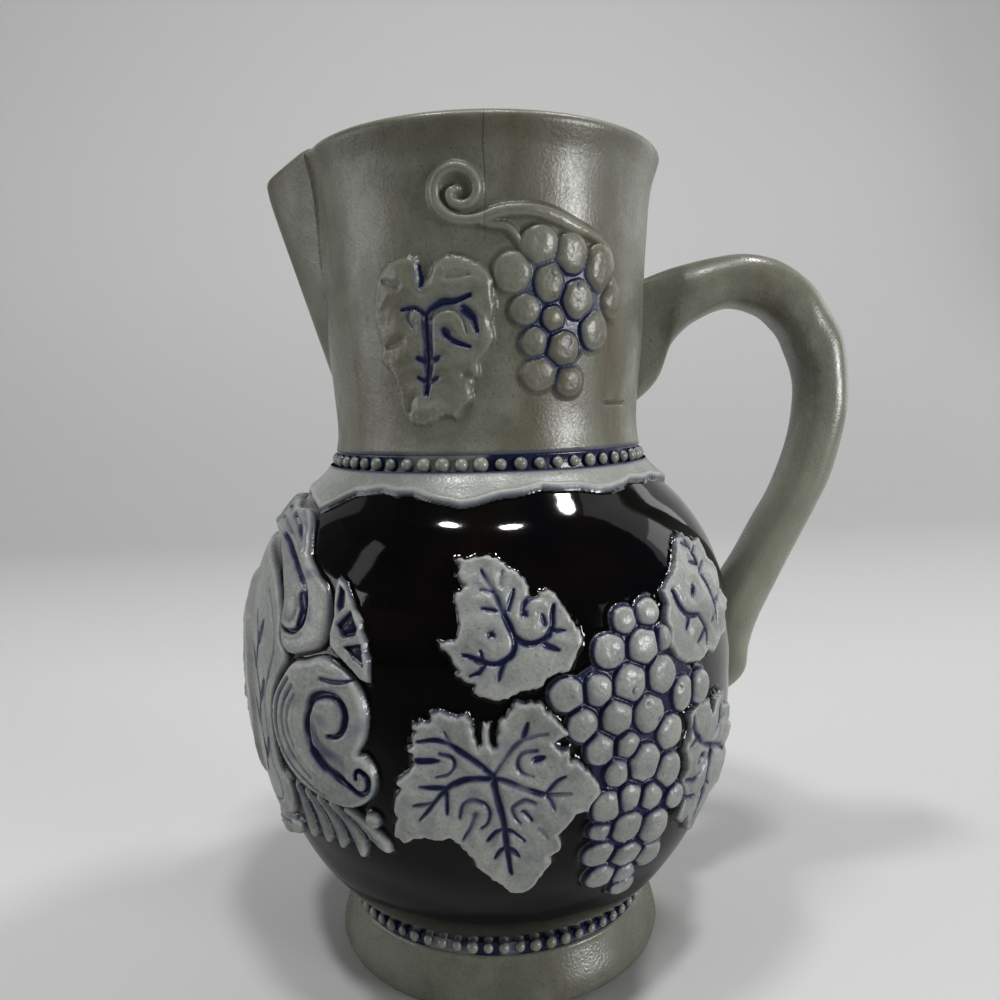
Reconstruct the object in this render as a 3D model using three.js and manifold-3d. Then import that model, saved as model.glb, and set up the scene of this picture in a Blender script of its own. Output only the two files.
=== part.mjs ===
// Stoneware wine pitcher with a round dark belly, straight grey neck, pinched spout and loop handle.
// Millimetres, +Z up. The origin is the middle of the flat underside, on the turning axis.
// The spout points to -X and the handle to +X, so the pot is alike on both sides of the XZ plane.
// Places on the wall are given as (angle, height): 0 degrees is under the spout, 90 is the near side
// (-Y) and 180 is under the handle. Every place on the near side is repeated on the far side.
import * as THREE from "three";
import { mergeVertices } from "three/addons/utils/BufferGeometryUtils.js";
import Module from "manifold-3d";

const wasm = await Module();
wasm.setup();

// driving sizes
const HEIGHT = 205;            // table to the top of the rim
const LIP_HEIGHT = 3.4;        // height of the rolled lip on the neck
const LIP_RADIUS = 46;         // lip at its widest
const NECK_RADIUS = 40.2;      // neck just over its bead band
const BELLY_RADIUS = 63.2;     // dark wall at its widest, without the relief
const WAIST_RADIUS = 41;       // waist at the foot's bead band
const FOOT_RADIUS = 44.1;      // flared foot where it stands
const WALL = 4.5;              // thickness of the thrown wall
const JOINT_GAP = 0.3;         // room between pieces that are laid on each other
const TURN_STEPS = 36;         // flats round every turned piece

const BASE_THICK = 6;          // floor of the pot
const FOOT_BAND_Z = [12.8, 16.6];
const NECK_BAND_Z = [128.2, 132.6];
const RIM_Z = HEIGHT - LIP_HEIGHT; // underside of the lip
const FOOT_BEADS = 67;
const NECK_BEADS = 57;

const NECK_BORE = NECK_RADIUS - WALL - 0.1; // inside radius at the foot of the neck
const FLOOR_RADIUS = WAIST_RADIUS - WALL - JOINT_GAP;
const SPRIG_THICK = 1.6;       // moulded leaves on the belly
const NECK_SPRIG_THICK = 1.2;
const GRAPE_RISE = 2.7;        // how far a grape stands out of the wall
const SCROLL_THICK = 2.9;      // bold scrolls of the frame under the spout
const PANEL_THICK = 1.5;
const FIELD_RISE = 4;          // domed middle of the field under the spout

const SPOUT_REACH = 55.4;      // tip of the spout from the axis
const SPOUT_FOOT_Z = 150;      // where its ridge leaves the neck
const SPOUT_HALF = 17;         // half of its width at the rim
const SPOUT_WALL = 3.6;

const HANDLE_HALF_WIDTH = 8.2; // half of the strap's width

// Heights at which the pot was drawn: table, foot band, neck band, lip. A drawn height keeps its place
// between its neighbours when one of the sizes above changes.
const DRAWN_Z = [0, 12.8, 16.6, 128.2, 132.6, 201.6, 205];
const BUILT_Z = [0, ...FOOT_BAND_Z, ...NECK_BAND_Z, RIM_Z, HEIGHT];
function rise(z) {
  let i = 0;
  while (i < DRAWN_Z.length - 2 && z > DRAWN_Z[i + 1]) i += 1;
  const share = (z - DRAWN_Z[i]) / (DRAWN_Z[i + 1] - DRAWN_Z[i]);
  return BUILT_Z[i] + (BUILT_Z[i + 1] - BUILT_Z[i]) * share;
}
const drawn = (places) => places.map(([deg, z, ...more]) => [deg, rise(z), ...more]);

// Outer wall of the pot, radius at each height, from the foot to the rim. The belly swells from the
// waist and closes to the neck by shares of the difference.
const swell = (from) => ([z, share]) => [z, from + (BELLY_RADIUS - from) * share];
const WALL_TABLE = [
  [0, FOOT_RADIUS], [4, FOOT_RADIUS - 0.5], [9, FOOT_RADIUS - 2.1],
  [12.8, WAIST_RADIUS], [17, WAIST_RADIUS + 0.6],
  ...[[20, 0.153], [25, 0.333], [32, 0.541], [42, 0.757], [52, 0.901], [62, 0.973], [76, 1],
  ].map(swell(WAIST_RADIUS)),
  ...[[84, 0.992], [94, 0.957], [104, 0.839], [112, 0.661], [118, 0.47], [123, 0.243], [128, 0.035],
  ].map(swell(NECK_RADIUS)),
  ...[[132.6, 0], [137, -0.6], [145, -0.4], [160, 0.7], [175, 1.4], [186, 2.3], [193, 2.9], [198, 3.7],
  ].map(([z, out]) => [z, NECK_RADIUS + out]),
  [201.6, LIP_RADIUS - 1], [205, LIP_RADIUS],
].map(([z, r]) => [rise(z), r]);

// Slope-matched smooth curve through the table: [radius, how far the wall leans] at a height.
function smoothWall(z) {
  const t = WALL_TABLE;
  let i = 0;
  while (i < t.length - 2 && z > t[i + 1][0]) i += 1;
  const slope = (k) => {
    const a = t[Math.max(k - 1, 0)];
    const b = t[Math.min(k + 1, t.length - 1)];
    return (b[1] - a[1]) / (b[0] - a[0]);
  };
  const span = t[i + 1][0] - t[i][0];
  const u = Math.min(Math.max((z - t[i][0]) / span, 0), 1);
  const h00 = 2 * u ** 3 - 3 * u ** 2 + 1;
  const h10 = u ** 3 - 2 * u ** 2 + u;
  const h01 = 3 * u ** 2 - 2 * u ** 3;
  const h11 = u ** 3 - u ** 2;
  const radius = h00 * t[i][1] + h10 * span * slope(i) + h01 * t[i + 1][1] + h11 * span * slope(i + 1);
  return [radius, Math.hypot(1, slope(i) * (1 - u) + slope(i + 1) * u)];
}

// Every piece on the wall turns its corners at the same heights, so that skins lie parallel to it.
const STATIONS = [...[0, 4, 9, 12.8, 16.6, 21.5, 29, 42, 56, 70, 84, 97, 107, 115, 122, 128.2,
  132.6, 137, 148, 180, 195, 201.6, 205].map(rise), HEIGHT + 4];
const STATION_WALL = STATIONS.map((z) => smoothWall(Math.min(z, HEIGHT)));

// Radius of the wall at any height, lifted square to it by the given amount.
function wallRadius(z, lift = 0) {
  let i = 0;
  while (i < STATIONS.length - 2 && z > STATIONS[i + 1]) i += 1;
  const u = Math.min(Math.max((z - STATIONS[i]) / (STATIONS[i + 1] - STATIONS[i]), 0), 1);
  const [a, b] = [STATION_WALL[i], STATION_WALL[i + 1]];
  return a[0] + (b[0] - a[0]) * u + lift * (a[1] + (b[1] - a[1]) * u);
}

// Point on the wall, lifted off it by the given amount.
function wallPoint(degrees, z, lift = 0) {
  const a = THREE.MathUtils.degToRad(degrees);
  const r = wallRadius(z, lift);
  return new THREE.Vector3(-r * Math.cos(a), -r * Math.sin(a), z);
}

// solids and meshes
function volumeOf(geometry) {
  const p = geometry.attributes.position;
  const index = geometry.index;
  const [a, b, c] = [new THREE.Vector3(), new THREE.Vector3(), new THREE.Vector3()];
  let sum = 0;
  for (let i = 0; i < index.count; i += 3) {
    a.fromBufferAttribute(p, index.getX(i));
    b.fromBufferAttribute(p, index.getX(i + 1));
    c.fromBufferAttribute(p, index.getX(i + 2));
    sum += a.dot(b.cross(c)) / 6;
  }
  return sum;
}

// Merges the seams of a closed shape and turns its faces outwards.
function closed(geometry) {
  const bare = geometry.clone();
  bare.deleteAttribute("normal");
  bare.deleteAttribute("uv");
  const merged = mergeVertices(bare, 1e-4);
  const kept = [];
  const old = merged.index;
  for (let i = 0; i < old.count; i += 3) {
    const t = [old.getX(i), old.getX(i + 1), old.getX(i + 2)];
    if (t[0] !== t[1] && t[1] !== t[2] && t[2] !== t[0]) kept.push(...t);
  }
  merged.setIndex(kept);
  if (volumeOf(merged) < 0) {
    for (let i = 0; i < kept.length; i += 3) {
      [kept[i + 1], kept[i + 2]] = [kept[i + 2], kept[i + 1]];
    }
    merged.setIndex(kept);
  }
  return merged;
}

function toSolid(geometry) {
  const g = closed(geometry);
  return new wasm.Manifold(new wasm.Mesh({
    numProp: 3,
    vertProperties: new Float32Array(g.attributes.position.array),
    triVerts: new Uint32Array(g.index.array),
  }));
}

// Back to a three.js geometry, keeping only the largest body of a cut piece.
function toGeometry(solid) {
  const mesh = solid.getMesh();
  const n = mesh.numProp;
  const spots = [];
  for (let i = 0; i < mesh.vertProperties.length; i += n) {
    spots.push(mesh.vertProperties[i], mesh.vertProperties[i + 1], mesh.vertProperties[i + 2]);
  }
  const whole = new THREE.BufferGeometry();
  whole.setAttribute("position", new THREE.Float32BufferAttribute(spots, 3));
  whole.setIndex(Array.from(mesh.triVerts));
  const g = mergeVertices(whole, 1e-5);
  const index = Array.from(g.index.array);
  const parent = Array.from({ length: g.attributes.position.count }, (_, i) => i);
  const find = (i) => {
    while (parent[i] !== i) {
      parent[i] = parent[parent[i]];
      i = parent[i];
    }
    return i;
  };
  for (let i = 0; i < index.length; i += 3) {
    parent[find(index[i])] = find(index[i + 1]);
    parent[find(index[i + 1])] = find(index[i + 2]);
  }
  const bodies = new Map();
  for (let i = 0; i < index.length; i += 3) {
    const root = find(index[i]);
    if (!bodies.has(root)) bodies.set(root, []);
    bodies.get(root).push(index[i], index[i + 1], index[i + 2]);
  }
  let best = null;
  let most = -Infinity;
  for (const triangles of bodies.values()) {
    g.setIndex(triangles);
    const v = volumeOf(g);
    if (v > most) {
      most = v;
      best = triangles;
    }
  }
  g.setIndex(best);
  const tidy = g.toNonIndexed();
  return mergeVertices(tidy, 1e-5);
}

// The same piece on the other side of the XZ plane.
function mirrored(geometry) {
  const g = geometry.clone();
  g.scale(1, -1, 1);
  const index = Array.from(g.index.array);
  for (let i = 0; i < index.length; i += 3) {
    [index[i + 1], index[i + 2]] = [index[i + 2], index[i + 1]];
  }
  g.setIndex(index);
  return g;
}

// A turned ring or disc from a closed (radius, height) profile.
function turned(profile, steps = TURN_STEPS) {
  const points = profile.map(([r, z]) => new THREE.Vector2(r, z));
  if (profile[0][0] > 0) points.push(points[0].clone());
  const g = new THREE.LatheGeometry(points, steps);
  g.rotateX(Math.PI / 2);
  return closed(g);
}

// The two heights with the stations between them, going up.
function heights(z0, z1) {
  return [z0, ...STATIONS.filter((z) => z > z0 + 0.4 && z < z1 - 0.4), z1];
}

// A skin that follows the wall between two heights, from one lift to another.
function skin(z0, z1, inner, outer) {
  const up = heights(z0, z1).map((z) => [wallRadius(z, outer), z]);
  const down = heights(z0, z1).reverse().map((z) => [wallRadius(z, inner), z]);
  return turned([...up, ...down]);
}

// Cuts an outline of (degrees, height) places out of a skin: a flat prism drawn round the outline's
// middle and pushed through the skin along the line of sight to the axis.
function stamp(outline, inner, outer) {
  const mid = outline.reduce((s, p) => s + p[0], 0) / outline.length;
  const shape = new THREE.Shape(outline.map(([deg, z]) => new THREE.Vector2(
    wallRadius(z, outer) * Math.sin(THREE.MathUtils.degToRad(deg - mid)), z)));
  const prism = new THREE.ExtrudeGeometry(shape, { depth: BELLY_RADIUS + 22, bevelEnabled: false });
  prism.rotateX(Math.PI / 2);
  prism.rotateZ(THREE.MathUtils.degToRad(mid - 90));
  const zs = outline.map((p) => p[1]);
  const shell = skin(Math.min(...zs) - 3, Math.max(...zs) + 3, inner, outer);
  return toSolid(prism).intersect(toSolid(shell));
}

// A ribbon outline of the given half widths round a run of (degrees, height) places.
function ribbon(places, half) {
  const widths = Array.isArray(half) ? half : places.map(() => half);
  const perDegree = (z) => wallRadius(z) * Math.PI / 180;
  const left = [];
  const right = [];
  places.forEach(([deg, z], i) => {
    const before = places[Math.max(i - 1, 0)];
    const after = places[Math.min(i + 1, places.length - 1)];
    const run = new THREE.Vector2((after[0] - before[0]) * perDegree(z), after[1] - before[1]).normalize();
    left.push([deg - run.y * widths[i] / perDegree(z), z + run.x * widths[i]]);
    right.push([deg + run.y * widths[i] / perDegree(z), z - run.x * widths[i]]);
  });
  return [...left, ...right.reverse()];
}

// finishes
const finish = (color, roughness, metalness = 0) => () =>
  new THREE.MeshStandardMaterial({ color, roughness, metalness });
const greyStone = finish(0x8d8e80, 0.42);
const reliefStone = finish(0x93958e, 0.5);
const darkGlaze = finish(0x15100f, 0.12);
const cobaltBand = finish(0x5c6480, 0.4);

const pitcher = new THREE.Group();
const groups = {};
for (const name of ["foot_group", "belly_group", "neck_group", "handle_group", "frame_group"]) {
  groups[name] = new THREE.Group();
  groups[name].name = name;
  pitcher.add(groups[name]);
}

function add(group, name, geometry, material) {
  const mesh = new THREE.Mesh(geometry, material());
  mesh.name = name;
  mesh.geometry.computeVertexNormals();
  groups[group].add(mesh);
}

function addPair(group, name, geometry, material) {
  add(group, `${name}_near`, geometry, material);
  add(group, `${name}_far`, mirrored(geometry), material);
}

// foot
const footInner = FLOOR_RADIUS + JOINT_GAP;
add("foot_group", "base_floor",
  turned([[0, 0], [FLOOR_RADIUS, 0], [FLOOR_RADIUS, BASE_THICK], [0, BASE_THICK - 0.8]]), greyStone);
add("foot_group", "foot_collar", turned([
  [footInner, 0], [FOOT_RADIUS - 1.2, 0], [FOOT_RADIUS, 1.2],
  ...[4, 9, 12.8].map((z) => [wallRadius(rise(z)), rise(z)]),
  [footInner, FOOT_BAND_Z[0]],
]), greyStone);

// A band whose outer face swells into a row of beads: low where it meets its neighbours, full between.
function beadBand(z0, z1, inner, outer, beads, out) {
  const g = turned([[inner, z0], [outer, z0], [outer, (z0 + z1) / 2], [outer, z1], [inner, z1]], beads * 2);
  const p = g.attributes.position;
  for (let i = 0; i < p.count; i += 1) {
    const [x, y] = [p.getX(i), p.getY(i)];
    const r = Math.hypot(x, y);
    if (r < outer - 0.1 || Math.cos(Math.atan2(y, x) * beads) < 0) continue;
    const round = Math.abs(p.getZ(i) - (z0 + z1) / 2) < 0.1 ? out : out * 0.25;
    p.setXY(i, x * (r + round) / r, y * (r + round) / r);
  }
  return g;
}
add("foot_group", "foot_bead_band",
  beadBand(FOOT_BAND_Z[0], FOOT_BAND_Z[1], footInner, WAIST_RADIUS - 0.3, FOOT_BEADS, 1.5), cobaltBand);

// belly
const bellyFrom = FOOT_BAND_Z[1];
const bellyTo = NECK_BAND_Z[0];
const bellyOuter = heights(bellyFrom, bellyTo).map((z) => [wallRadius(z), z]);
const bellyInner = [128.2, 120, 106, 84, 58, 36, 22.5, 16.6].map((z) => [
  Math.max(wallRadius(rise(z), -WALL), z < 100 ? footInner : NECK_BORE), rise(z)]);
add("belly_group", "belly_shell", turned([...bellyOuter, ...bellyInner]), darkGlaze);

// Grey skirt under the neck band: its lower edge hangs in shallow scallops and meets the frame's crest.
const skirtTop = NECK_BAND_Z[0] - 0.2;
const skirtEdge = drawn([[0, 122.5], [20, 121.5], [34, 119.6], [45, 123.6], [55, 124.6], [66, 123.8],
  [80, 121.6],
  [92, 123.2], [103, 124.6], [115, 123.8], [125, 123.2], [136, 124.4], [150, 124.4], [165, 122.8],
  [180, 122]]);
function skirtEdgeAt(deg) {
  const d = Math.abs(((deg + 180) % 360) - 180);
  let i = 0;
  while (i < skirtEdge.length - 2 && d > skirtEdge[i + 1][0]) i += 1;
  const [a, b] = [skirtEdge[i], skirtEdge[i + 1]];
  return a[1] + (b[1] - a[1]) * (d - a[0]) / (b[0] - a[0]);
}
const skirtThick = 1.0;
{
  const bed = JOINT_GAP + 0.1;
  const rings = [[bed, 0], [skirtThick, 0], [skirtThick, 0.5], [skirtThick + 0.2, 1], [bed, 1], [bed, 0.5]];
  const spots = [];
  const index = [];
  for (let i = 0; i < TURN_STEPS; i += 1) {
    const deg = i * 360 / TURN_STEPS;
    const low = skirtEdgeAt(deg);
    for (const [lift, down] of rings) {
      const p = wallPoint(deg, skirtTop + (low - skirtTop) * down, lift);
      spots.push(p.x, p.y, p.z);
    }
  }
  const n = rings.length;
  for (let i = 0; i < TURN_STEPS; i += 1) {
    const j = (i + 1) % TURN_STEPS;
    for (let k = 0; k < n; k += 1) {
      const m = (k + 1) % n;
      index.push(i * n + k, j * n + k, j * n + m, i * n + k, j * n + m, i * n + m);
    }
  }
  const g = new THREE.BufferGeometry();
  g.setAttribute("position", new THREE.Float32BufferAttribute(spots, 3));
  g.setIndex(index);
  add("belly_group", "shoulder_skirt", closed(g), greyStone);
}

// neck, rim and spout
add("neck_group", "neck_bead_band",
  beadBand(NECK_BAND_Z[0], NECK_BAND_Z[1], NECK_BORE, NECK_RADIUS, NECK_BEADS, 1.4), cobaltBand);

const neckFrom = NECK_BAND_Z[1];
const neckOuter = heights(neckFrom, RIM_Z).map((z) => [wallRadius(z), z]);
const neckInner = [RIM_Z, rise(190), rise(150), neckFrom].map((z) => [
  z === neckFrom ? NECK_BORE : wallRadius(z) - WALL, z]);
const neckRing = toSolid(turned([...neckOuter, ...neckInner]));
const rimRing = toSolid(turned([
  [wallRadius(RIM_Z) - WALL, RIM_Z], [wallRadius(RIM_Z), RIM_Z], [LIP_RADIUS, RIM_Z + 1.5],
  [LIP_RADIUS, HEIGHT - 1], [LIP_RADIUS - 1, HEIGHT], [LIP_RADIUS - 3.4, HEIGHT],
  [LIP_RADIUS - 4.6, HEIGHT - 1],
]));

// The spout is a fold of the wall: in plan a V with a rounded nose, narrowing to nothing at its foot.
const spoutTop = HEIGHT - 0.6;
function spoutRing(share, thick, z) {
  const root = wallRadius(z) - 2;
  const nose = wallRadius(SPOUT_FOOT_Z) - 1 + (SPOUT_REACH - wallRadius(SPOUT_FOOT_Z) + 1) * share;
  const half = Math.max(SPOUT_HALF * share, 0.8);
  const reach = nose - thick;
  const side = Math.max(half - thick * 1.15, 0.3);
  const flankX = Math.sqrt(Math.max(wallRadius(z) ** 2 - half ** 2, 1)) - 0.6;
  return [[root - 16, side], [flankX, side], [reach - (reach - flankX) * 0.16, side * 0.2],
    [reach, side * 0.06], [reach, -side * 0.06], [reach - (reach - flankX) * 0.16, -side * 0.2],
    [flankX, -side], [root - 16, -side]].map(([x, y]) => new THREE.Vector3(-x, y, z));
}
// Rings of equal count stacked into one closed body.
function loft(rings) {
  const n = rings[0].length;
  const spots = rings.flat().flatMap((p) => [p.x, p.y, p.z]);
  const index = [];
  for (let i = 0; i + 1 < rings.length; i += 1) {
    for (let k = 0; k < n; k += 1) {
      const m = (k + 1) % n;
      index.push(i * n + k, (i + 1) * n + k, (i + 1) * n + m, i * n + k, (i + 1) * n + m, i * n + m);
    }
  }
  for (const [ring, flip] of [[0, false], [rings.length - 1, true]]) {
    const start = ring * n;
    const flat = rings[ring];
    const normal = new THREE.Vector3();
    flat.forEach((p, k) => normal.add(p.clone().cross(flat[(k + 1) % n])));
    normal.normalize();
    const across = flat[1].clone().sub(flat[0]);
    across.sub(normal.clone().multiplyScalar(across.dot(normal))).normalize();
    const up = normal.clone().cross(across);
    const plan = flat.map((p) => new THREE.Vector2(p.dot(across), p.dot(up)));
    for (const [a, b, c] of THREE.ShapeUtils.triangulateShape(plan, [])) {
      index.push(...(flip ? [start + a, start + c, start + b] : [start + a, start + b, start + c]));
    }
  }
  const g = new THREE.BufferGeometry();
  g.setAttribute("position", new THREE.Float32BufferAttribute(spots, 3));
  g.setIndex(index);
  return closed(g);
}
const spoutZs = Array.from({ length: 8 }, (_, i) => SPOUT_FOOT_Z + (spoutTop - SPOUT_FOOT_Z) * i / 7);
const shareAt = (z) => (z - SPOUT_FOOT_Z) / (spoutTop - SPOUT_FOOT_Z);
const spoutBody = toSolid(loft(spoutZs.map((z) => spoutRing(shareAt(z), 0, z))));
const hollowZs = [SPOUT_FOOT_Z + 9, ...spoutZs.slice(2, 7), spoutTop + 3];
const spoutHollow = toSolid(loft(hollowZs.map((z) => spoutRing(
  Math.min(shareAt(z), 1.02), SPOUT_WALL, z))));
const boreCut = NECK_BORE - 5.6;
const neckBore = toSolid(turned([
  [0, SPOUT_FOOT_Z - 50], [boreCut, SPOUT_FOOT_Z - 50], [boreCut, HEIGHT + 25], [0, HEIGHT + 25],
]));
const outside = toSolid(turned([
  ...heights(neckFrom, RIM_Z).map((z) => [wallRadius(z, JOINT_GAP), z]),
  [LIP_RADIUS + 0.35, RIM_Z + 1.4], [LIP_RADIUS + 0.35, HEIGHT],
  [SPOUT_REACH + 35, HEIGHT], [SPOUT_REACH + 35, neckFrom],
]));
add("neck_group", "neck_wall", toGeometry(neckRing.subtract(spoutHollow)), greyStone);
add("neck_group", "rim_lip", toGeometry(rimRing.subtract(spoutHollow)), greyStone);
add("neck_group", "spout_fold",
  toGeometry(spoutBody.intersect(outside).subtract(spoutHollow).subtract(neckBore)), greyStone);

// handle
// Outer and inner edge of the strap in the XZ plane, read as pairs from the neck round to the belly.
const strapOuter = [[38, 173.5], [46.6, 177.2], [53, 179], [61, 181], [69.8, 181.6], [78.4, 179.7],
  [87, 173.8], [92.4, 166.8], [96.6, 158.6], [97.9, 148], [97.2, 136], [93.9, 123], [89.6, 113.2],
  [83.8, 102.8], [78.4, 92.2], [74.2, 84], [71.4, 75], [69.4, 66], [60, 58.4]];
const strapInner = [[38, 141.6], [45.4, 148], [48.6, 157.2], [55.4, 163.8], [65, 167.6], [73.6, 165.4],
  [79, 161], [81.6, 156.6], [83.8, 151.4], [84.8, 144.6], [84.0, 136.4], [81.6, 126.6], [78.4, 118.6],
  [73.6, 110.2], [68.6, 101.6], [64.6, 94.6], [61, 88], [59, 80], [58, 60]];
const strapHalf = [4.2, 6.4, 8.2, 8.4, 8.2, 8.2, 8.2, 8.2, 8.2, 8.2, 8.2, 8.2, 8.2, 8.2, 8.4, 8.8, 8.8,
  8.2, 4].map((w) => w * HANDLE_HALF_WIDTH / 8.2);
// Section of the strap: rounded outside, flatter towards the fingers.
const strapSection = [[1, 0], [0.88, 0.48], [0.52, 0.84], [0, 1], [-0.55, 0.94], [-0.92, 0.62], [-1, 0],
  [-0.92, -0.62], [-0.55, -0.94], [0, -1], [0.52, -0.84], [0.88, -0.48]];
const strap = loft(strapOuter.map(([ox, oz], i) => {
  const [ix, iz] = strapInner[i];
  return strapSection.map(([u, v]) => new THREE.Vector3(
    (ox + ix) / 2 + (ox - ix) / 2 * u, v * strapHalf[i], rise((oz + iz) / 2 + (oz - iz) / 2 * u)));
}));
const potEnvelope = toSolid(turned([
  [0, FOOT_BAND_Z[0]],
  ...heights(FOOT_BAND_Z[0], RIM_Z - 1.6).map((z) => [wallRadius(z, JOINT_GAP), z]),
  [0, RIM_Z - 1.6],
]));
add("handle_group", "handle_strap", toGeometry(toSolid(strap).subtract(potEnvelope)), greyStone);

// grapes
// Each grape is a half sunk egg: (degrees, height, half width, half height).
const bellyGrapes = drawn([
  [113.7, 98.2, 2.8, 2.8], [119.5, 98.9, 2.9, 2.9], [109.9, 92.4, 3.6, 3.4], [117.6, 92.3, 3.9, 3.5],
  [122.6, 93, 2.2, 2.8], [101, 84.7, 3.6, 3.4], [107.1, 84.9, 3.0, 3.3], [114, 85.2, 3.7, 3.9],
  [121.7, 85.4, 3.8, 4.0], [127.4, 79.8, 3.2, 3.9], [103.8, 78, 3.2, 3.5], [110.9, 78.5, 3.5, 3.7],
  [118.4, 77.6, 3.8, 4.0], [107.3, 72.3, 3.2, 3.4], [113.2, 72, 3.0, 2.8], [123.9, 72.1, 3.7, 3.8],
  [110.8, 66.2, 2.9, 3.0], [117.4, 67, 3.9, 4.1], [123.9, 63.4, 3.5, 3.9], [108.8, 59, 3.3, 3.7],
  [114.2, 60, 2.9, 3.1], [119.6, 58.6, 3.0, 3.0], [107.8, 53.8, 2.8, 2.3], [114.2, 52.8, 3.9, 3.5],
  [121.4, 50.6, 3.9, 4.2], [126.4, 56.2, 2.9, 2.9], [108.2, 47.6, 3.7, 3.0], [115.3, 45.6, 4.0, 3.0],
  [122.2, 42.8, 3.7, 3.2], [109.6, 41.2, 3.5, 3.0], [116, 40, 3.0, 2.8], [117.2, 35.6, 3.2, 3.0],
  [133.4, 79.6, 3.4, 3.8],
]);
const neckGrapes = drawn([
  [97.1, 170.5, 3.1, 4.1], [104.9, 178.3, 3.7, 4.1], [115.3, 176.5, 3.6, 4.1], [125.4, 174.5, 3.5, 4.6],
  [107.5, 169.7, 3.2, 3.7], [117.5, 166.5, 3.8, 4.1], [130.4, 166, 2.9, 3.7], [99.5, 163.5, 3.0, 3.5],
  [108.9, 162.3, 2.8, 3.0], [124, 160.4, 3.7, 3.9], [102.4, 156.6, 2.8, 3.3], [112.7, 156, 3.7, 3.9],
  [104.7, 149.6, 3.7, 3.7], [114.4, 148.6, 3.1, 3.3],
]);
// Web of clay that the grapes sit on.
const bellyWeb = drawn([[99, 86], [107.5, 91], [112, 98], [120, 100], [124.5, 90], [135, 81.5],
  [134, 77], [127, 75],
  [126.6, 56], [124, 42], [117.4, 34], [108.6, 40], [106.6, 55], [105.4, 70], [101.8, 77]]);
const neckWeb = drawn([[95.6, 172], [102, 180], [126, 177.6], [132, 166], [126.6, 158.6], [116.4, 152],
  [116, 147], [103.6, 147.4], [99, 160]]);

// Low dome of a grape on a six sided base that lies inside the web, just clear of its neighbours.
const domeRings = [[1, 0], [0.7, 0.7]];
const domeSides = 6;
const domeFit = 0.94;
function bunch(grapes, web, out, grow = 0) {
  let solid = stamp(web, JOINT_GAP - grow, 0.9 + grow);
  for (const [deg, z, w, h] of grapes) {
    const rings = domeRings.map(([wide, up]) => Array.from({ length: domeSides }, (_, i) => {
      const a = i * 2 * Math.PI / domeSides;
      return new THREE.Vector3(up * (out + grow - 0.55) + 0.55 - (up ? 0 : grow),
        Math.cos(a) * (w * domeFit + grow) * wide, Math.sin(a) * (h * domeFit + grow) * wide);
    }));
    const tip = new THREE.Vector3(out + grow, 0, 0);
    const g = dome(rings, tip);
    g.rotateY(Math.atan2(wallRadius(z + 2) - wallRadius(z - 2), 4));
    g.rotateZ(THREE.MathUtils.degToRad(deg + 180));
    const p = wallPoint(deg, z);
    g.translate(p.x, p.y, p.z);
    solid = solid.add(toSolid(g));
  }
  return solid;
}
// Rings closed by a flat base and one tip.
function dome(rings, tip) {
  const n = rings[0].length;
  const spots = [...rings.flat(), tip].flatMap((p) => [p.x, p.y, p.z]);
  const last = rings.length * n;
  const index = [];
  for (let k = 0; k < n; k += 1) {
    const m = (k + 1) % n;
    for (let i = 0; i + 1 < rings.length; i += 1) {
      index.push(i * n + k, i * n + m, (i + 1) * n + m, i * n + k, (i + 1) * n + m, (i + 1) * n + k);
    }
    index.push(last - n + k, last - n + m, last);
    if (k > 0 && k < n - 1) index.push(0, m, k);
  }
  const g = new THREE.BufferGeometry();
  g.setAttribute("position", new THREE.Float32BufferAttribute(spots, 3));
  g.setIndex(index);
  return closed(g);
}
const bellyBunch = bunch(bellyGrapes, bellyWeb, GRAPE_RISE);
const bellyBunchRoom = bunch(bellyGrapes, bellyWeb, GRAPE_RISE, 0.29);
addPair("belly_group", "belly_bunch", toGeometry(bellyBunch), reliefStone);
const neckBunch = bunch(neckGrapes, neckWeb, GRAPE_RISE * 0.85);
const neckBunchRoom = bunch(neckGrapes, neckWeb, GRAPE_RISE * 0.85, 0.29);
addPair("neck_group", "neck_bunch", toGeometry(neckBunch), greyStone);

// leaves
const lowerLeaf = drawn([
  [84.3, 74.5], [83.4, 80.6], [76.6, 82.4], [76, 80.2], [72.6, 79.3], [71.2, 73.9], [72.2, 71],
  [68.4, 66.2], [67.6, 60.4], [67.2, 54], [69.5, 52.6], [78.4, 55], [82.6, 50], [88.6, 42], [91.6, 40],
  [94.6, 41.8], [98.4, 47.8], [100, 51.8], [99.3, 54.4], [102.7, 58.8], [105, 59], [107.4, 63],
  [104.4, 68.6], [101.3, 70.8], [98.3, 75], [101.6, 76.6], [96.2, 83.8], [92.4, 83.9], [88.2, 79.8],
  [87.7, 75], [86.5, 79.8], [85.4, 79.8],
]);
const upperLeaf = drawn([
  [79.7, 112], [81.2, 110], [80.7, 108.6], [82.4, 106.8], [80.4, 105], [81.6, 99.5], [80.8, 97], [77.5, 96],
  [79.7, 93.5], [81.4, 90.8], [81, 89.6], [84.2, 87.7], [84, 86], [88.3, 84.6], [92.4, 85.4], [96.5, 86.4],
  [99.4, 89.4], [102.2, 90.5], [104.3, 94.3], [103.8, 97.4], [102, 100.8], [100, 104.8], [98.4, 105.6],
  [96.4, 104.2], [94.9, 105], [94.2, 107.5], [92.8, 109.4], [88.4, 112.2], [84, 112.2],
]);
const rightUpperLeaf = drawn([
  [124.2, 102.2], [124.6, 99.4], [123.3, 96.6], [124, 94], [123.6, 92], [125.2, 88.6], [128, 86.2],
  [133.6, 85.2], [137.4, 86.6], [139.4, 85.6], [143.6, 88.2], [147.2, 88.6], [146.8, 92.4], [150.2, 95.2],
  [147.4, 98.6], [148.6, 103.2], [145.8, 106.2], [146, 110.4], [141.8, 110], [139.6, 112.6], [136.2, 111.6],
  [133.6, 109.4], [131.4, 107], [128.6, 105],
]);
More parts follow.
